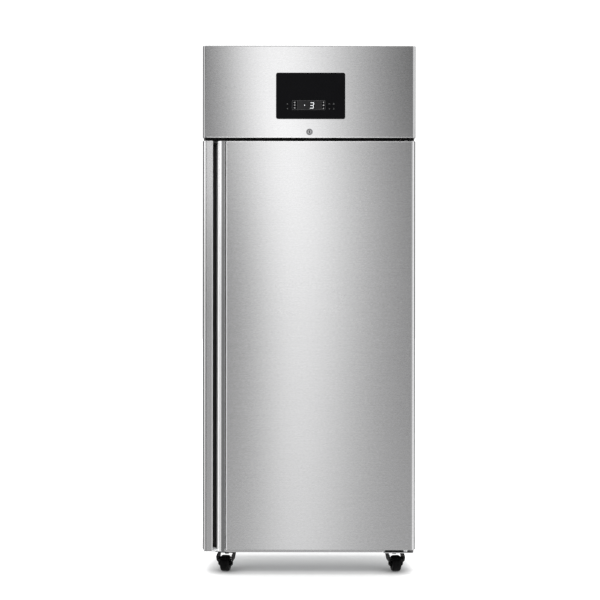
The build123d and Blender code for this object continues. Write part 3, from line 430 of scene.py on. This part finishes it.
def bm_lathe(bm, profile, origin, axis, segments=24):
    """profile: (distance along the axis, radius) in mm; origin in mm; axis a unit vector."""
    axis = Vector(axis).normalized()
    side = axis.orthogonal().normalized()
    up = axis.cross(side)
    rings = []
    for a, r in profile:
        ring = []
        if r <= 1e-6:
            ring = [bm.verts.new((Vector(origin) + axis * a) * MM)]
        else:
            for k in range(segments):
                t = 2 * math.pi * k / segments
                p = Vector(origin) + axis * a + (side * math.cos(t) + up * math.sin(t)) * r
                ring.append(bm.verts.new(p * MM))
        rings.append(ring)
    for r0, r1 in zip(rings, rings[1:]):
        for k in range(segments):
            j = (k + 1) % segments
            if len(r0) == 1 and len(r1) == 1:
                continue
            if len(r0) == 1:
                bm.faces.new((r0[0], r1[k], r1[j]))
            elif len(r1) == 1:
                bm.faces.new((r0[k], r1[0], r0[j]))
            else:
                bm.faces.new((r0[k], r1[k], r1[j], r0[j]))


def bm_tube(bm, points, r, segments=10, closed=False):
    """Round bar along points in mm."""
    pts = [Vector(p) for p in points]
    n = len(pts)
    rings = []
    ref = None
    for i, p in enumerate(pts):
        if closed:
            d = (pts[(i + 1) % n] - pts[i - 1]).normalized()
        else:
            d = (pts[min(i + 1, n - 1)] - pts[max(i - 1, 0)]).normalized()
        if ref is None:
            ref = d.orthogonal().normalized()
        ref = (ref - d * ref.dot(d)).normalized()
        up = d.cross(ref)
        rings.append([
            bm.verts.new((p + (ref * math.cos(2 * math.pi * k / segments) + up * math.sin(2 * math.pi * k / segments)) * r) * MM)
            for k in range(segments)
        ])
    count = n if closed else n - 1
    for i in range(count):
        a, b = rings[i], rings[(i + 1) % n]
        for k in range(segments):
            j = (k + 1) % segments
            bm.faces.new((a[k], a[j], b[j], b[k]))
    if not closed:
        bm.faces.new(list(reversed(rings[0])))
        bm.faces.new(rings[-1])


def rounded_loop(x0, x1, y0, y1, r, steps=6):
    """Rounded rectangle, counter-clockwise, as 2-D points."""
    out = []
    for cx_, cy_, a0 in ((x1 - r, y0 + r, -90), (x1 - r, y1 - r, 0), (x0 + r, y1 - r, 90), (x0 + r, y0 + r, 180)):
        for k in range(steps + 1):
            a = math.radians(a0 + 90.0 * k / steps)
            out.append((cx_ + r * math.cos(a), cy_ + r * math.sin(a)))
    return out


# ------------------------------------------------------------------ display marks (plain signs and one digit)
GLASS_Y = -416.2
MARK_Y = -416.32


def emissive(name, colour, strength, base=(0.02, 0.02, 0.02)):
    m, t, b = material(name, Base_Color=base, Roughness=0.3)
    b.inputs["Emission Color"].default_value = (*colour, 1.0)
    b.inputs["Emission Strength"].default_value = strength
    return m


M["digit_light"] = emissive("digit_light", (0.95, 0.98, 1.0), 1.25)
M["mark_light"] = grainy("mark_light", (0.33, 0.33, 0.33), 0.5, 900.0, 0.00001, 0.02)
M["mark_dim"] = grainy("mark_dim", (0.085, 0.085, 0.085), 0.5, 900.0, 0.00001, 0.02)
M["mark_line"] = grainy("mark_line", (0.045, 0.045, 0.046), 0.45, 900.0, 0.00001, 0.02)
M["window_black"] = grainy("window_black", (0.0015, 0.0015, 0.002), 0.12, 60.0, 0.000002, 0.1, Specular_IOR_Level=0.25)


def frame_ring(bm, x0, x1, z0, z1, r, width, ya, yb):
    outer = rounded_loop(x0, x1, z0, z1, r)
    inner = rounded_loop(x0 + width, x1 - width, z0 + width, z1 - width, max(r - width, 0.3))
    n = len(outer)
    vo0 = [bm.verts.new((p[0] * MM, ya * MM, p[1] * MM)) for p in outer]
    vi0 = [bm.verts.new((p[0] * MM, ya * MM, p[1] * MM)) for p in inner]
    vo1 = [bm.verts.new((p[0] * MM, yb * MM, p[1] * MM)) for p in outer]
    vi1 = [bm.verts.new((p[0] * MM, yb * MM, p[1] * MM)) for p in inner]
    for i in range(n):
        j = (i + 1) % n
        bm.faces.new((vo0[i], vo0[j], vi0[j], vi0[i]))
        bm.faces.new((vo1[j], vo1[i], vi1[i], vi1[j]))
        bm.faces.new((vo0[j], vo0[i], vo1[i], vo1[j]))
        bm.faces.new((vi0[i], vi0[j], vi1[j], vi1[i]))


bm = bmesh.new()
bm_prism(bm, rounded_loop(-44.5, 45.5, 1767.5, 1802.0, 1.5), "y", GLASS_Y - 0.06, GLASS_Y + 0.05)
add_piece("display_window", bm, "control_panel", "window_black")

bm = bmesh.new()
frame_ring(bm, -65.0, 61.0, 1767.0, 1802.5, 2.5, 1.0, GLASS_Y - 0.10, GLASS_Y + 0.05)
bm_box(bm, -45.3, -44.5, GLASS_Y - 0.10, GLASS_Y + 0.05, 1768.0, 1801.5)
bm_box(bm, 45.5, 46.3, GLASS_Y - 0.10, GLASS_Y + 0.05, 1768.0, 1801.5)
add_piece("display_frame_line", bm, "control_panel", "mark_line")


def disc(bm, x, z, r, r_in=0.0, ya=MARK_Y, yb=GLASS_Y + 0.05, seg=20):
    outer = [(x + r * math.cos(2 * math.pi * k / seg), z + r * math.sin(2 * math.pi * k / seg)) for k in range(seg)]
    if r_in <= 0:
        bm_prism(bm, outer, "y", ya, yb)
        return
    inner = [(x + r_in * math.cos(2 * math.pi * k / seg), z + r_in * math.sin(2 * math.pi * k / seg)) for k in range(seg)]
    vo0 = [bm.verts.new((p[0] * MM, ya * MM, p[1] * MM)) for p in outer]
    vi0 = [bm.verts.new((p[0] * MM, ya * MM, p[1] * MM)) for p in inner]
    vo1 = [bm.verts.new((p[0] * MM, yb * MM, p[1] * MM)) for p in outer]
    vi1 = [bm.verts.new((p[0] * MM, yb * MM, p[1] * MM)) for p in inner]
    for i in range(seg):
        j = (i + 1) % seg
        bm.faces.new((vo0[i], vo0[j], vi0[j], vi0[i]))
        bm.faces.new((vo1[j], vo1[i], vi1[i], vi1[j]))
        bm.faces.new((vo0[j], vo0[i], vo1[i], vo1[j]))
        bm.faces.new((vi0[i], vi0[j], vi1[j], vi1[i]))


def bar(bm, x, z, length, width, angle=0.0, ya=MARK_Y, yb=GLASS_Y + 0.05):
    c, s = math.cos(math.radians(angle)), math.sin(math.radians(angle))
    pts = [(x + u * c - v * s, z + u * s + v * c) for u, v in
           ((-length / 2, -width / 2), (length / 2, -width / 2), (length / 2, width / 2), (-length / 2, width / 2))]
    bm_prism(bm, pts, "y", ya, yb)


def triangle(bm, x, z, size, up=True):
    s = size / 2 if up else -size / 2
    bm_prism(bm, [(x - size / 2, z - s * 0.8), (x + size / 2, z - s * 0.8), (x, z + s)], "y", MARK_Y, GLASS_Y + 0.05)


# status signs in two columns of the window
bm = bmesh.new()
disc(bm, -55.0, 1784.5, 2.6, 1.5)
for a in (0, 60, 120):
    bar(bm, -55.0, 1794.7, 6.2, 1.0, a)
bar(bm, -55.0, 1772.8, 5.2, 1.3)
bar(bm, -55.0, 1775.6, 5.2, 1.3)
disc(bm, 54.2, 1784.5, 2.6)
for a in (45, 135):
    bar(bm, 54.2, 1794.7, 6.4, 1.2, a)
triangle(bm, 54.2, 1772.9, 5.0)
add_piece("display_status_signs", bm, "control_panel", "mark_light")

# touch keys beside the window
bm = bmesh.new()
triangle(bm, -82.2, 1789.8, 5.0, True)
triangle(bm, -82.2, 1770.9, 5.0, False)
disc(bm, 76.5, 1789.8, 2.6, 1.7)
bar(bm, 76.5, 1770.9, 5.0, 1.1)
bar(bm, 76.5, 1770.9, 1.1, 5.0)
disc(bm, 92.8, 1789.8, 2.8, 1.5)
bar(bm, 92.8, 1791.4, 1.1, 3.0)
bar(bm, 92.8, 1772.4, 5.0, 1.1)
bar(bm, 92.8, 1769.4, 5.0, 1.1)
add_piece("display_key_signs", bm, "control_panel", "mark_dim")

# one seven-segment digit and a point
bm = bmesh.new()


def digit(bm, x, z, w, h, on, t=2.2, slant=0.12):
    """Seven segments a-g, slanted, lower left corner at x, z."""
    g = 0.35
    seg = {
        "a": [(g, h), (w - g, h), (w - t, h - t), (t, h - t)],
        "d": [(g, 0), (w - g, 0), (w - t, t), (t, t)],
        "g": [(t * 0.6, h / 2), (t, h / 2 + t / 2), (w - t, h / 2 + t / 2), (w - t * 0.6, h / 2), (w - t, h / 2 - t / 2), (t, h / 2 - t / 2)],
        "b": [(w, h - g), (w, h / 2 + g), (w - t * 0.55, h / 2 + t / 2 + g), (w - t, h / 2 + t / 2 + g), (w - t, h - t - g)],
        "c": [(w, g), (w, h / 2 - g), (w - t * 0.55, h / 2 - t / 2 - g), (w - t, h / 2 - t / 2 - g), (w - t, t + g)],
        "f": [(0, h - g), (0, h / 2 + g), (t * 0.55, h / 2 + t / 2 + g), (t, h / 2 + t / 2 + g), (t, h - t - g)],
        "e": [(0, g), (0, h / 2 - g), (t * 0.55, h / 2 - t / 2 - g), (t, h / 2 - t / 2 - g), (t, t + g)],
    }
    for s in on:
        bm_prism(bm, [(x + px + pz * slant, z + pz) for px, pz in seg[s]], "y", MARK_Y, GLASS_Y + 0.05)


digit(bm, 1.5, 1772.0, 14.5, 23.0, "abgcd")
disc(bm, -17.3, 1784.5, 1.9)
add_piece("display_digit", bm, "control_panel", "digit_light")


# ------------------------------------------------------------------ trims: folded edges, lips, and black strips of painted shade
def strip(name, body, look, axis, a0, a1, centre, width, out, lean=False):
    """Slightly crowned strip along an axis. centre: place across it, at the surface; out: how proud it stands."""
    bm = bmesh.new()
    prof = [(-0.5, 0.0), (-0.5, 0.35), (-0.36, 0.8), (-0.15, 1.0), (0.15, 1.0), (0.36, 0.8), (0.5, 0.35), (0.5, 0.0)]
    if lean:
        prof = [(-0.5, 0.0), (-0.5, 0.9), (-0.44, 1.0), (0.44, 0.38), (0.5, 0.25), (0.5, 0.0)]
    pts = []
    for u, v in prof:
        if axis == "z":
            pts.append((centre[0] + u * width, centre[1] - v * out))
        else:
            pts.append((centre[0] - v * out, centre[1] + u * width))
    bm_prism(bm, pts, axis, a0, a1)
    return add_piece(name, bm, body, look)


# lip of the grip, beside the recess, a painted highlight in near-white steel
strip("grip_lip", "door", "edge_painted_highlight", "z", 94.0, 1648.0, (-366.4, -414.9), 3.2, 0.7)
# folded edges of the door skin and of the panel; the two lower folds are a brighter steel, a painted highlight
strip("door_skin_top_fold", "door", "fold_painted_highlight", "x", -314.0, 386.0, (-414.8, 1646.3), 3.6, 0.8, lean=True)
# a black strip along the door's top edge, painted shade that widens the dark gap under the panel
strip("door_top_painted_shade_strip", "door", "black_metal", "x", -314.0, 386.0, (-414.7, 1649.2), 2.1, 0.3)
strip("panel_bottom_fold", "control_panel", "fold_painted_highlight", "x", -388.0, 388.0, (-414.8, 1662.9), 3.2, 0.8, lean=True)
strip("panel_top_fold", "control_panel", "drip_steel", "x", -394.0, 394.0, (-414.7, 2008.3), 3.2, 0.5)
# drip edge under the door, short of the lower hinge
bm = bmesh.new()
bm_prism(bm, [(-413.6, 97.2), (-413.6, 90.0), (-412.8, 88.8), (-411.4, 88.8), (-411.0, 90.0), (-411.0, 97.2)], "x", -313.0, 280.0)
bm_prism(bm, [(-413.6, 97.2), (-413.6, 92.6), (-412.8, 91.8), (-411.4, 91.8), (-411.0, 92.6), (-411.0, 97.2)], "x", 280.0, 289.0)
add_piece("door_drip_edge", bm, "door", "drip_steel")

# black strip behind the gap between the panel and the door, painted shade that keeps the gap dark
bm = bmesh.new()
for x0, x1 in ((-399.0, 349.0), (387.0, 399.0)):
    bm_prism(bm, [(-343.2, 1652.2), (-344.2, 1653.4), (-344.4, 1662.0), (-344.2, 1670.8), (-343.2, 1672.0), (-341.0, 1672.0), (-341.0, 1652.2)],
             "x", x0, x1)
add_piece("gap_painted_shade_strip", bm, "cabinet", "black_rubber")


# ------------------------------------------------------------------ coils: fin stacks, end plates, tubes and return bends
def fin_stack(name, node, x0, x1, pitch, y0, y1, z0, z1, tubes, bends, plates, r):
    """Aluminium fins on copper tubes along X. tubes: (y, z); bends: (side, y_a, z_a, y_b, z_b); plates: (x0, x1, y0, y1, z0, z1)."""
    bm = bmesh.new()
    count = int((x1 - x0) / pitch)
    for i in range(count):
        x = x0 + (i + 0.5) * (x1 - x0) / count
        wav = 1.2 if i % 2 else 0.0        # alternate fins are cut a little shorter, as on a corrugated stack
        bm_box(bm, x - 0.13, x + 0.13, y0 + wav, y1 - wav, z0, z1)
    fins = add_piece(name + "_fins", bm, "cabinet", "coil_aluminium")
    bm = bmesh.new()
    for px0, px1, py0, py1, pz0, pz1 in plates:
        loop = rounded_loop(py0, py1, pz0, pz1, 4.0, 4)
        bm_prism(bm, loop, "x", px0, px1)
    ends = add_piece(name + "_end_plates", bm, "cabinet", "galvanised")
    bm = bmesh.new()
    for y, z in tubes:
        bm_tube(bm, [(plates[0][0] - 0.5, y, z), (0.5 * (x0 + x1), y, z), (plates[1][1] + 0.5, y, z)], r, 12)
    for x, out_, ya, za, yb, zb in bends:
        pts = []
        cy, cz, hy, hz = (ya + yb) / 2, (za + zb) / 2, (yb - ya) / 2, (zb - za) / 2
        for k in range(13):
            a = math.pi * k / 12
            pts.append((x + out_ * math.sin(a), cy - hy * math.cos(a), cz - hz * math.cos(a)))
        bm_tube(bm, pts, r, 12)
    pipes = add_piece(name + "_tubes", bm, "cabinet", "copper", smooth=True)
    for o in (fins, ends, pipes):
        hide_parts(node)


cond_z = [1722.0 + 25.0 * k for k in range(8)]
fin_stack("condenser", "condenser_coil", -337.0, -43.0, 3.0, -215.0, -152.0, 1690.0, 1910.0,
          [(y, z) for y in (-198.0, -172.0) for z in cond_z],
          [(-340.0, -15.0, -198.0, cond_z[2 * i], -198.0, cond_z[2 * i + 1]) for i in range(4)]
          + [(-40.0, 15.0, -172.0, cond_z[2 * i], -172.0, cond_z[2 * i + 1]) for i in range(4)],
          [(-340.0, -337.0, -219.0, -150.2, 1652.2, 1916.0), (-43.0, -40.0, -219.0, -150.2, 1652.2, 1916.0)], 4.5)
fin_stack("evaporator", "evaporator_coil", -226.0, 186.0, 4.0, 120.0, 250.0, 1460.0, 1560.0,
          [(y, z) for y in (136.0, 164.0, 201.0, 229.0) for z in (1482.0, 1538.0)],
          [(-230.0, -15.0, y - 14.0, z, y + 14.0, z) for y in (150.0, 215.0) for z in (1482.0, 1538.0)],
          [(-230.0, -226.0, 114.0, 256.0, 1450.0, 1570.0), (186.0, 190.0, 114.0, 256.0, 1450.0, 1570.0)], 5.0)


# ------------------------------------------------------------------ door gasket: folded magnetic profile, mitred corners
bm = bmesh.new()
GASKET = [(-9.4, -355.9), (-9.4, -354.6), (-6.0, -353.2), (-6.0, -352.4), (-8.8, -350.6), (-8.8, -349.9), (-6.6, -348.6), (-9.6, -347.2),
          (-9.6, -344.6), (-8.6, -343.6), (8.6, -343.6), (9.6, -344.6), (9.6, -347.2), (6.6, -348.6), (8.8, -349.9), (8.8, -350.6),
          (6.0, -352.4), (6.0, -353.2), (9.4, -354.6), (9.4, -355.9)]
rows = []
for u, y in GASKET:
    hw, za, zb = 356.0 + u, 122.0 - u, 1608.0 + u
    rows.append([bm.verts.new((x * MM, y * MM, z * MM)) for x, z in ((-hw, za), (hw, za), (hw, zb), (-hw, zb))])
for i in range(len(rows)):
    a, b2 = rows[i], rows[(i + 1) % len(rows)]
    for k in range(4):
        j = (k + 1) % 4
        bm.faces.new((a[k], a[j], b2[j], b2[k]))
gasket = add_piece("door_gasket_profile", bm, "door", "gasket_rubber", bevel=0.0003)
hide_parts("door_gasket")


# ------------------------------------------------------------------ condenser fan guard: rings and spokes on the shroud
bm = bmesh.new()
for rr in (28.0, 46.0, 64.0, 82.0, 98.0):
    bm_tube(bm, [(-190.0 + rr * math.cos(2 * math.pi * k / 48), -118.4, 1800.0 + rr * math.sin(2 * math.pi * k / 48)) for k in range(48)],
            1.0, 8, closed=True)
for k in range(4):
    a = math.pi / 4 + k * math.pi / 2
    bm_tube(bm, [(-190.0 + q * math.cos(a), -116.4, 1800.0 + q * math.sin(a)) for q in (27.0, 60.0, 99.5)], 1.3, 8)
add_piece("condenser_fan_guard", bm, "cabinet", "black_metal", smooth=True)


# ------------------------------------------------------------------ screw heads: black crosses, painted shade of the cross recesses
def islands(node):
    """Vertices of the separate solids of a node, in mm."""
    me = NODES[node].data
    parent = list(range(len(me.vertices)))

    def find(i):
        while parent[i] != i:
            parent[i] = parent[parent[i]]
            i = parent[i]
        return i
    near = {}
    for v in me.vertices:
        key = (round(v.co.x * 20000), round(v.co.y * 20000), round(v.co.z * 20000))
        if key in near:
            parent[find(v.index)] = find(near[key])
        near[key] = v.index
    for e in me.edges:
        parent[find(e.vertices[0])] = find(e.vertices[1])
    groups = {}
    for v in me.vertices:
        groups.setdefault(find(v.index), []).append(Vector(v.co) / MM)
    return list(groups.values())


bm = bmesh.new()
screw_count = 0
for pts in islands("cabinet_screws"):
    lo = Vector([min(p[i] for p in pts) for i in range(3)])
    hi = Vector([max(p[i] for p in pts) for i in range(3)])
    size = hi - lo
    mid = (lo + hi) / 2
    # the axis is the one whose two cross sizes are equal
    ax = min(range(3), key=lambda i: abs(size[(i + 1) % 3] - size[(i + 2) % 3]))
    o1, o2 = (ax + 1) % 3, (ax + 2) % 3

    def spread(plane):
        rs = [math.hypot(p[o1] - mid[o1], p[o2] - mid[o2]) for p in pts if abs(p[ax] - plane) < 0.6]
        return max(rs) if rs else 0.0
    top = spread(hi[ax]) > spread(lo[ax])
    plane = hi[ax] if top else lo[ax]
    sgn = 1.0 if top else -1.0
    rad = min(size[o1], size[o2]) / 2
    if rad < 2.0:
        continue
    # each cross is a black box just proud of the head, painted shade for the cross recess
    L, Wd = rad * 0.62, rad * 0.15
    for swap in (False, True):
        b0, b1 = [0, 0, 0], [0, 0, 0]
        for o_, h_ in ((o1, L if swap else Wd), (o2, Wd if swap else L)):
            b0[o_], b1[o_] = mid[o_] - h_, mid[o_] + h_
        b0[ax], b1[ax] = sorted((plane - sgn * 0.3, plane + sgn * 0.06))
        bm_box(bm, b0[0], b1[0], b0[1], b1[1], b0[2], b1[2])
    screw_count += 1
add_piece("screw_recess_painted_shade", bm, "cabinet", "black_metal")
print("screws with a recess:", screw_count)


# ------------------------------------------------------------------ stage: floor, surroundings, lights
floor_mesh = bpy.data.meshes.new("floor")
bm = bmesh.new()
S = 30.0
vs = [bm.verts.new(p) for p in ((-S, -S, 0), (S, -S, 0), (S, S, 0), (-S, S, 0))]
bm.faces.new(vs)
bm.to_mesh(floor_mesh)
bm.free()
floor = bpy.data.objects.new("floor", floor_mesh)
bpy.context.scene.collection.objects.link(floor)
floor.location = (0, 0, -0.0002)
fm = bpy.data.materials.new("floor_white")
fm.use_nodes = True
ft = fm.node_tree
fb = ft.nodes["Principled BSDF"]
fb.inputs["Base Color"].default_value = (0.62, 0.62, 0.62, 1)
fb.inputs["Roughness"].default_value = 0.9
fb.inputs["Specular IOR Level"].default_value = 0.0
fb.inputs["Emission Color"].default_value = (1, 1, 1, 1)
ftc = nd(ft, "ShaderNodeTexCoord")
fsep = nd(ft, "ShaderNodeSeparateXYZ")
ft.links.new(ftc.outputs["Object"], fsep.inputs[0])


def bell(tree, v, centre, sigma):
    q = math_node(tree, "DIVIDE", math_node(tree, "SUBTRACT", v, centre), sigma)
    return math_node(tree, "EXPONENT", math_node(tree, "MULTIPLY", math_node(tree, "MULTIPLY", q, q), -0.5))


# painted shadow on the floor: darkest just before the object's middle, fading to the front, the back and the sides
FY = [(-0.60, 0.45), (-0.50, 0.32), (-0.46, 0.26), (-0.43, 0.23), (-0.41, 0.25), (-0.39, 0.31), (-0.362, 0.315), (-0.342, 0.285), (-0.322, 0.20),
      (-0.302, 0.155), (-0.28, 0.145), (-0.258, 0.15), (-0.238, 0.165), (-0.218, 0.20), (-0.19, 0.245), (-0.157, 0.30), (-0.115, 0.36),
      (-0.073, 0.445), (-0.032, 0.52), (0.0, 0.70), (0.032, 0.85), (0.10, 1.0)]
fy01 = map_range(ft, fsep.outputs[1], -0.6, 0.2, 0.0, 1.0)
shade = nd(ft, "ShaderNodeRGBToBW")
ft.links.new(ramp(ft, fy01, [((y + 0.6) / 0.8, v) for y, v in FY]), shade.inputs[0])
sx = nd(ft, "ShaderNodeMapRange", interpolation_type="SMOOTHSTEP")
for i, v in enumerate((0.30, 0.47, 1.0, 0.0)):
    sx.inputs[i + 1].default_value = v
ft.links.new(math_node(ft, "ABSOLUTE", math_node(ft, "SUBTRACT", fsep.outputs[0], 0.01)), sx.inputs[0])
open_floor = math_node(ft, "ADD", map_range(ft, fsep.outputs[1], -0.20, 0.02, 0.0, 0.45), 0.55)
fmix = nd(ft, "ShaderNodeMix", data_type="FLOAT")
ft.links.new(sx.outputs[0], fmix.inputs[0])
ft.links.new(open_floor, fmix.inputs[2])
ft.links.new(shade.outputs[0], fmix.inputs[3])
glow = fmix.outputs[0]
# contact shadow round each front wheel
for wx, wy in ((-0.320, -0.326), (0.336, -0.326)):
    spot = math_node(ft, "MULTIPLY", bell(ft, fsep.outputs[0], wx, 0.036), bell(ft, fsep.outputs[1], wy, 0.045))
    glow = math_node(ft, "MULTIPLY", glow, math_node(ft, "SUBTRACT", 1.0, math_node(ft, "MULTIPLY", spot, 0.75)))
ft.links.new(glow, fb.inputs["Emission Strength"])
floor_mesh.materials.append(fm)
floor.visible_glossy = False

world = bpy.data.worlds.new("studio")
bpy.context.scene.world = world
world.use_nodes = True
wt = world.node_tree
wt.nodes.clear()
out = nd(wt, "ShaderNodeOutputWorld")
bg = nd(wt, "ShaderNodeBackground")
wt.links.new(bg.outputs[0], out.inputs[0])
tc = nd(wt, "ShaderNodeTexCoord")
sep = nd(wt, "ShaderNodeSeparateXYZ")
wt.links.new(tc.outputs["Generated"], sep.inputs[0])
X, Y, Z = sep.outputs
az = math_node(wt, "ARCTAN2", X, math_node(wt, "MULTIPLY", Y, -1.0))          # 0 to the front, + to the right
el = math_node(wt, "ARCSINE", Z)
az01 = math_node(wt, "ADD", math_node(wt, "DIVIDE", az, 2 * math.pi), 0.5)      # 0..1, front at 0.5


def deg(a):
    return a / 360.0 + 0.5


K = 2.0   # ramp values are radiance / K
BANDS = [
    (-180, 0.80), (-170, 0.55), (-160, 0.35), (-134, 0.35), (-124, 0.08), (-92, 0.08), (-86, 0.45), (-79, 1.2), (-54, 1.2), (-48, 0.34),
    (-44, 0.15), (-40, 0.22), (-36, 0.75), (-30, 0.75), (-25, 0.25), (-18, 0.05), (8, 0.05), (13, 0.30), (20, 0.46), (34, 0.60),
    (42, 0.75), (48, 1.3), (88, 1.3), (96, 0.50), (106, 0.14),
    (124, 0.14), (134, 0.35), (160, 0.35), (170, 0.55), (180, 0.80),
]


def curve(fac, stops, scale=1.0):
    """Smooth value from a black and white ramp, times scale."""
    n = nd(wt, "ShaderNodeRGBToBW")
    wt.links.new(ramp(wt, fac, [(p, v / scale) for p, v in stops]), n.inputs[0])
    return math_node(wt, "MULTIPLY", n.outputs[0], scale)


def height(stops, scale=1.0):
    """Value by elevation angle in degrees, from -20 to 20."""
    return curve(el01, [((e + 20.0) / 40.0, v) for e, v in stops], scale)


el01 = math_node(wt, "ADD", math_node(wt, "DIVIDE", el, math.radians(40.0)), 0.5, clamp=True)
around = curve(az01, [(deg(a), v) for a, v in BANDS], K)


def lobe(centre, sigma_left, sigma_right):
    """1 at the centre azimuth (degrees), falling off to each side; arguments may be numbers or sockets."""
    azd = math_node(wt, "MULTIPLY", az, 180.0 / math.pi)
    d = math_node(wt, "SUBTRACT", azd, centre)
    left = math_node(wt, "LESS_THAN", d, 0.0)
    mixed = nd(wt, "ShaderNodeMix", data_type="FLOAT")
    wt.links.new(left, mixed.inputs[0])
    for i, v in ((2, sigma_right), (3, sigma_left)):
        if isinstance(v, (int, float)):
            mixed.inputs[i].default_value = v
        else:
            wt.links.new(v, mixed.inputs[i])
    q = math_node(wt, "DIVIDE", d, mixed.outputs[0])
    q = math_node(wt, "MULTIPLY", math_node(wt, "MULTIPLY", q, q), -0.5)
    return math_node(wt, "EXPONENT", q)


# one soft upright band ahead of the front, brighter and wider to the top
centre = math_node(wt, "MULTIPLY", height([(-11, 0.38), (0, 0.45), (4, 0.56), (6.5, 0.90), (10, 1.40)], 2.0), -1.0)
wide_l = height([(-11, 0.95), (0, 1.0), (5, 1.25), (10, 1.4), (14, 1.6)], 4.0)
wide_r = height([(-11, 1.7), (-8, 1.9), (-4, 2.0), (0, 2.25), (6.5, 2.25), (8, 2.6), (10, 2.9), (14, 3.2)], 4.0)
power = height([(-20, 0.28), (-11, 0.60), (-4, 0.90), (0, 1.09), (6, 1.46), (10, 1.48), (20, 1.7)], 2.0)
front = math_node(wt, "MULTIPLY", lobe(centre, wide_l, wide_r), power)
low = math_node(wt, "MULTIPLY", lobe(0.0, 14.0, 14.0), height([(-20, 0.58), (-11, 0.49), (0, 0.285), (6, 0.265), (8.5, 0.10), (10, 0.02), (12, 0.0)]))
front = math_node(wt, "ADD", front, low)
side_glow = math_node(wt, "MULTIPLY", lobe(-20.0, 8.0, 8.0), height([(-2, 0.0), (8, 0.25), (12, 0.1)]))
front = math_node(wt, "ADD", front, side_glow)
glossy_env = math_node(wt, "ADD", around, front)
up = map_range(wt, el, math.radians(48), math.radians(60), 0.0, 1.5)
glossy_env = math_node(wt, "ADD", glossy_env, up)
diffuse_env = math_node(wt, "ADD", map_range(wt, el, math.radians(-10), math.radians(35), 0.55, 1.0), math_node(wt, "MULTIPLY", up, 0.55))
lp = nd(wt, "ShaderNodeLightPath")
mix1 = nd(wt, "ShaderNodeMix", data_type="FLOAT")
wt.links.new(lp.outputs["Is Glossy Ray"], mix1.inputs[0])
wt.links.new(diffuse_env, mix1.inputs[2])
wt.links.new(glossy_env, mix1.inputs[3])
mix2 = nd(wt, "ShaderNodeMix", data_type="FLOAT")
wt.links.new(lp.outputs["Is Camera Ray"], mix2.inputs[0])
wt.links.new(mix1.outputs[0], mix2.inputs[2])
mix2.inputs[3].default_value = 1.1
bg.inputs["Color"].default_value = (1, 1, 1, 1)
wt.links.new(mix2.outputs[0], bg.inputs["Strength"])


def area(name, loc, target, size, size_y, power, glossy=False):
    d = bpy.data.lights.new(name, "AREA")
    d.shape = "RECTANGLE"
    d.size, d.size_y = size, size_y
    d.energy = power
    o = bpy.data.objects.new(name, d)
    bpy.context.scene.collection.objects.link(o)
    o.location = loc
    o.rotation_euler = (Vector(target) - Vector(loc)).to_track_quat("-Z", "Y").to_euler()
    o.visible_camera = False
    o.visible_glossy = glossy
    return o


area("top_box", (0.0, -0.6, 5.0), (0, 0, 0), 4.0, 4.0, 180.0)
area("left_box", (-3.5, -3.5, 2.2), (0, 0, 1.0), 1.6, 2.6, 45.0)
area("right_box", (3.8, -3.0, 2.0), (0, 0, 1.0), 1.6, 2.6, 30.0)
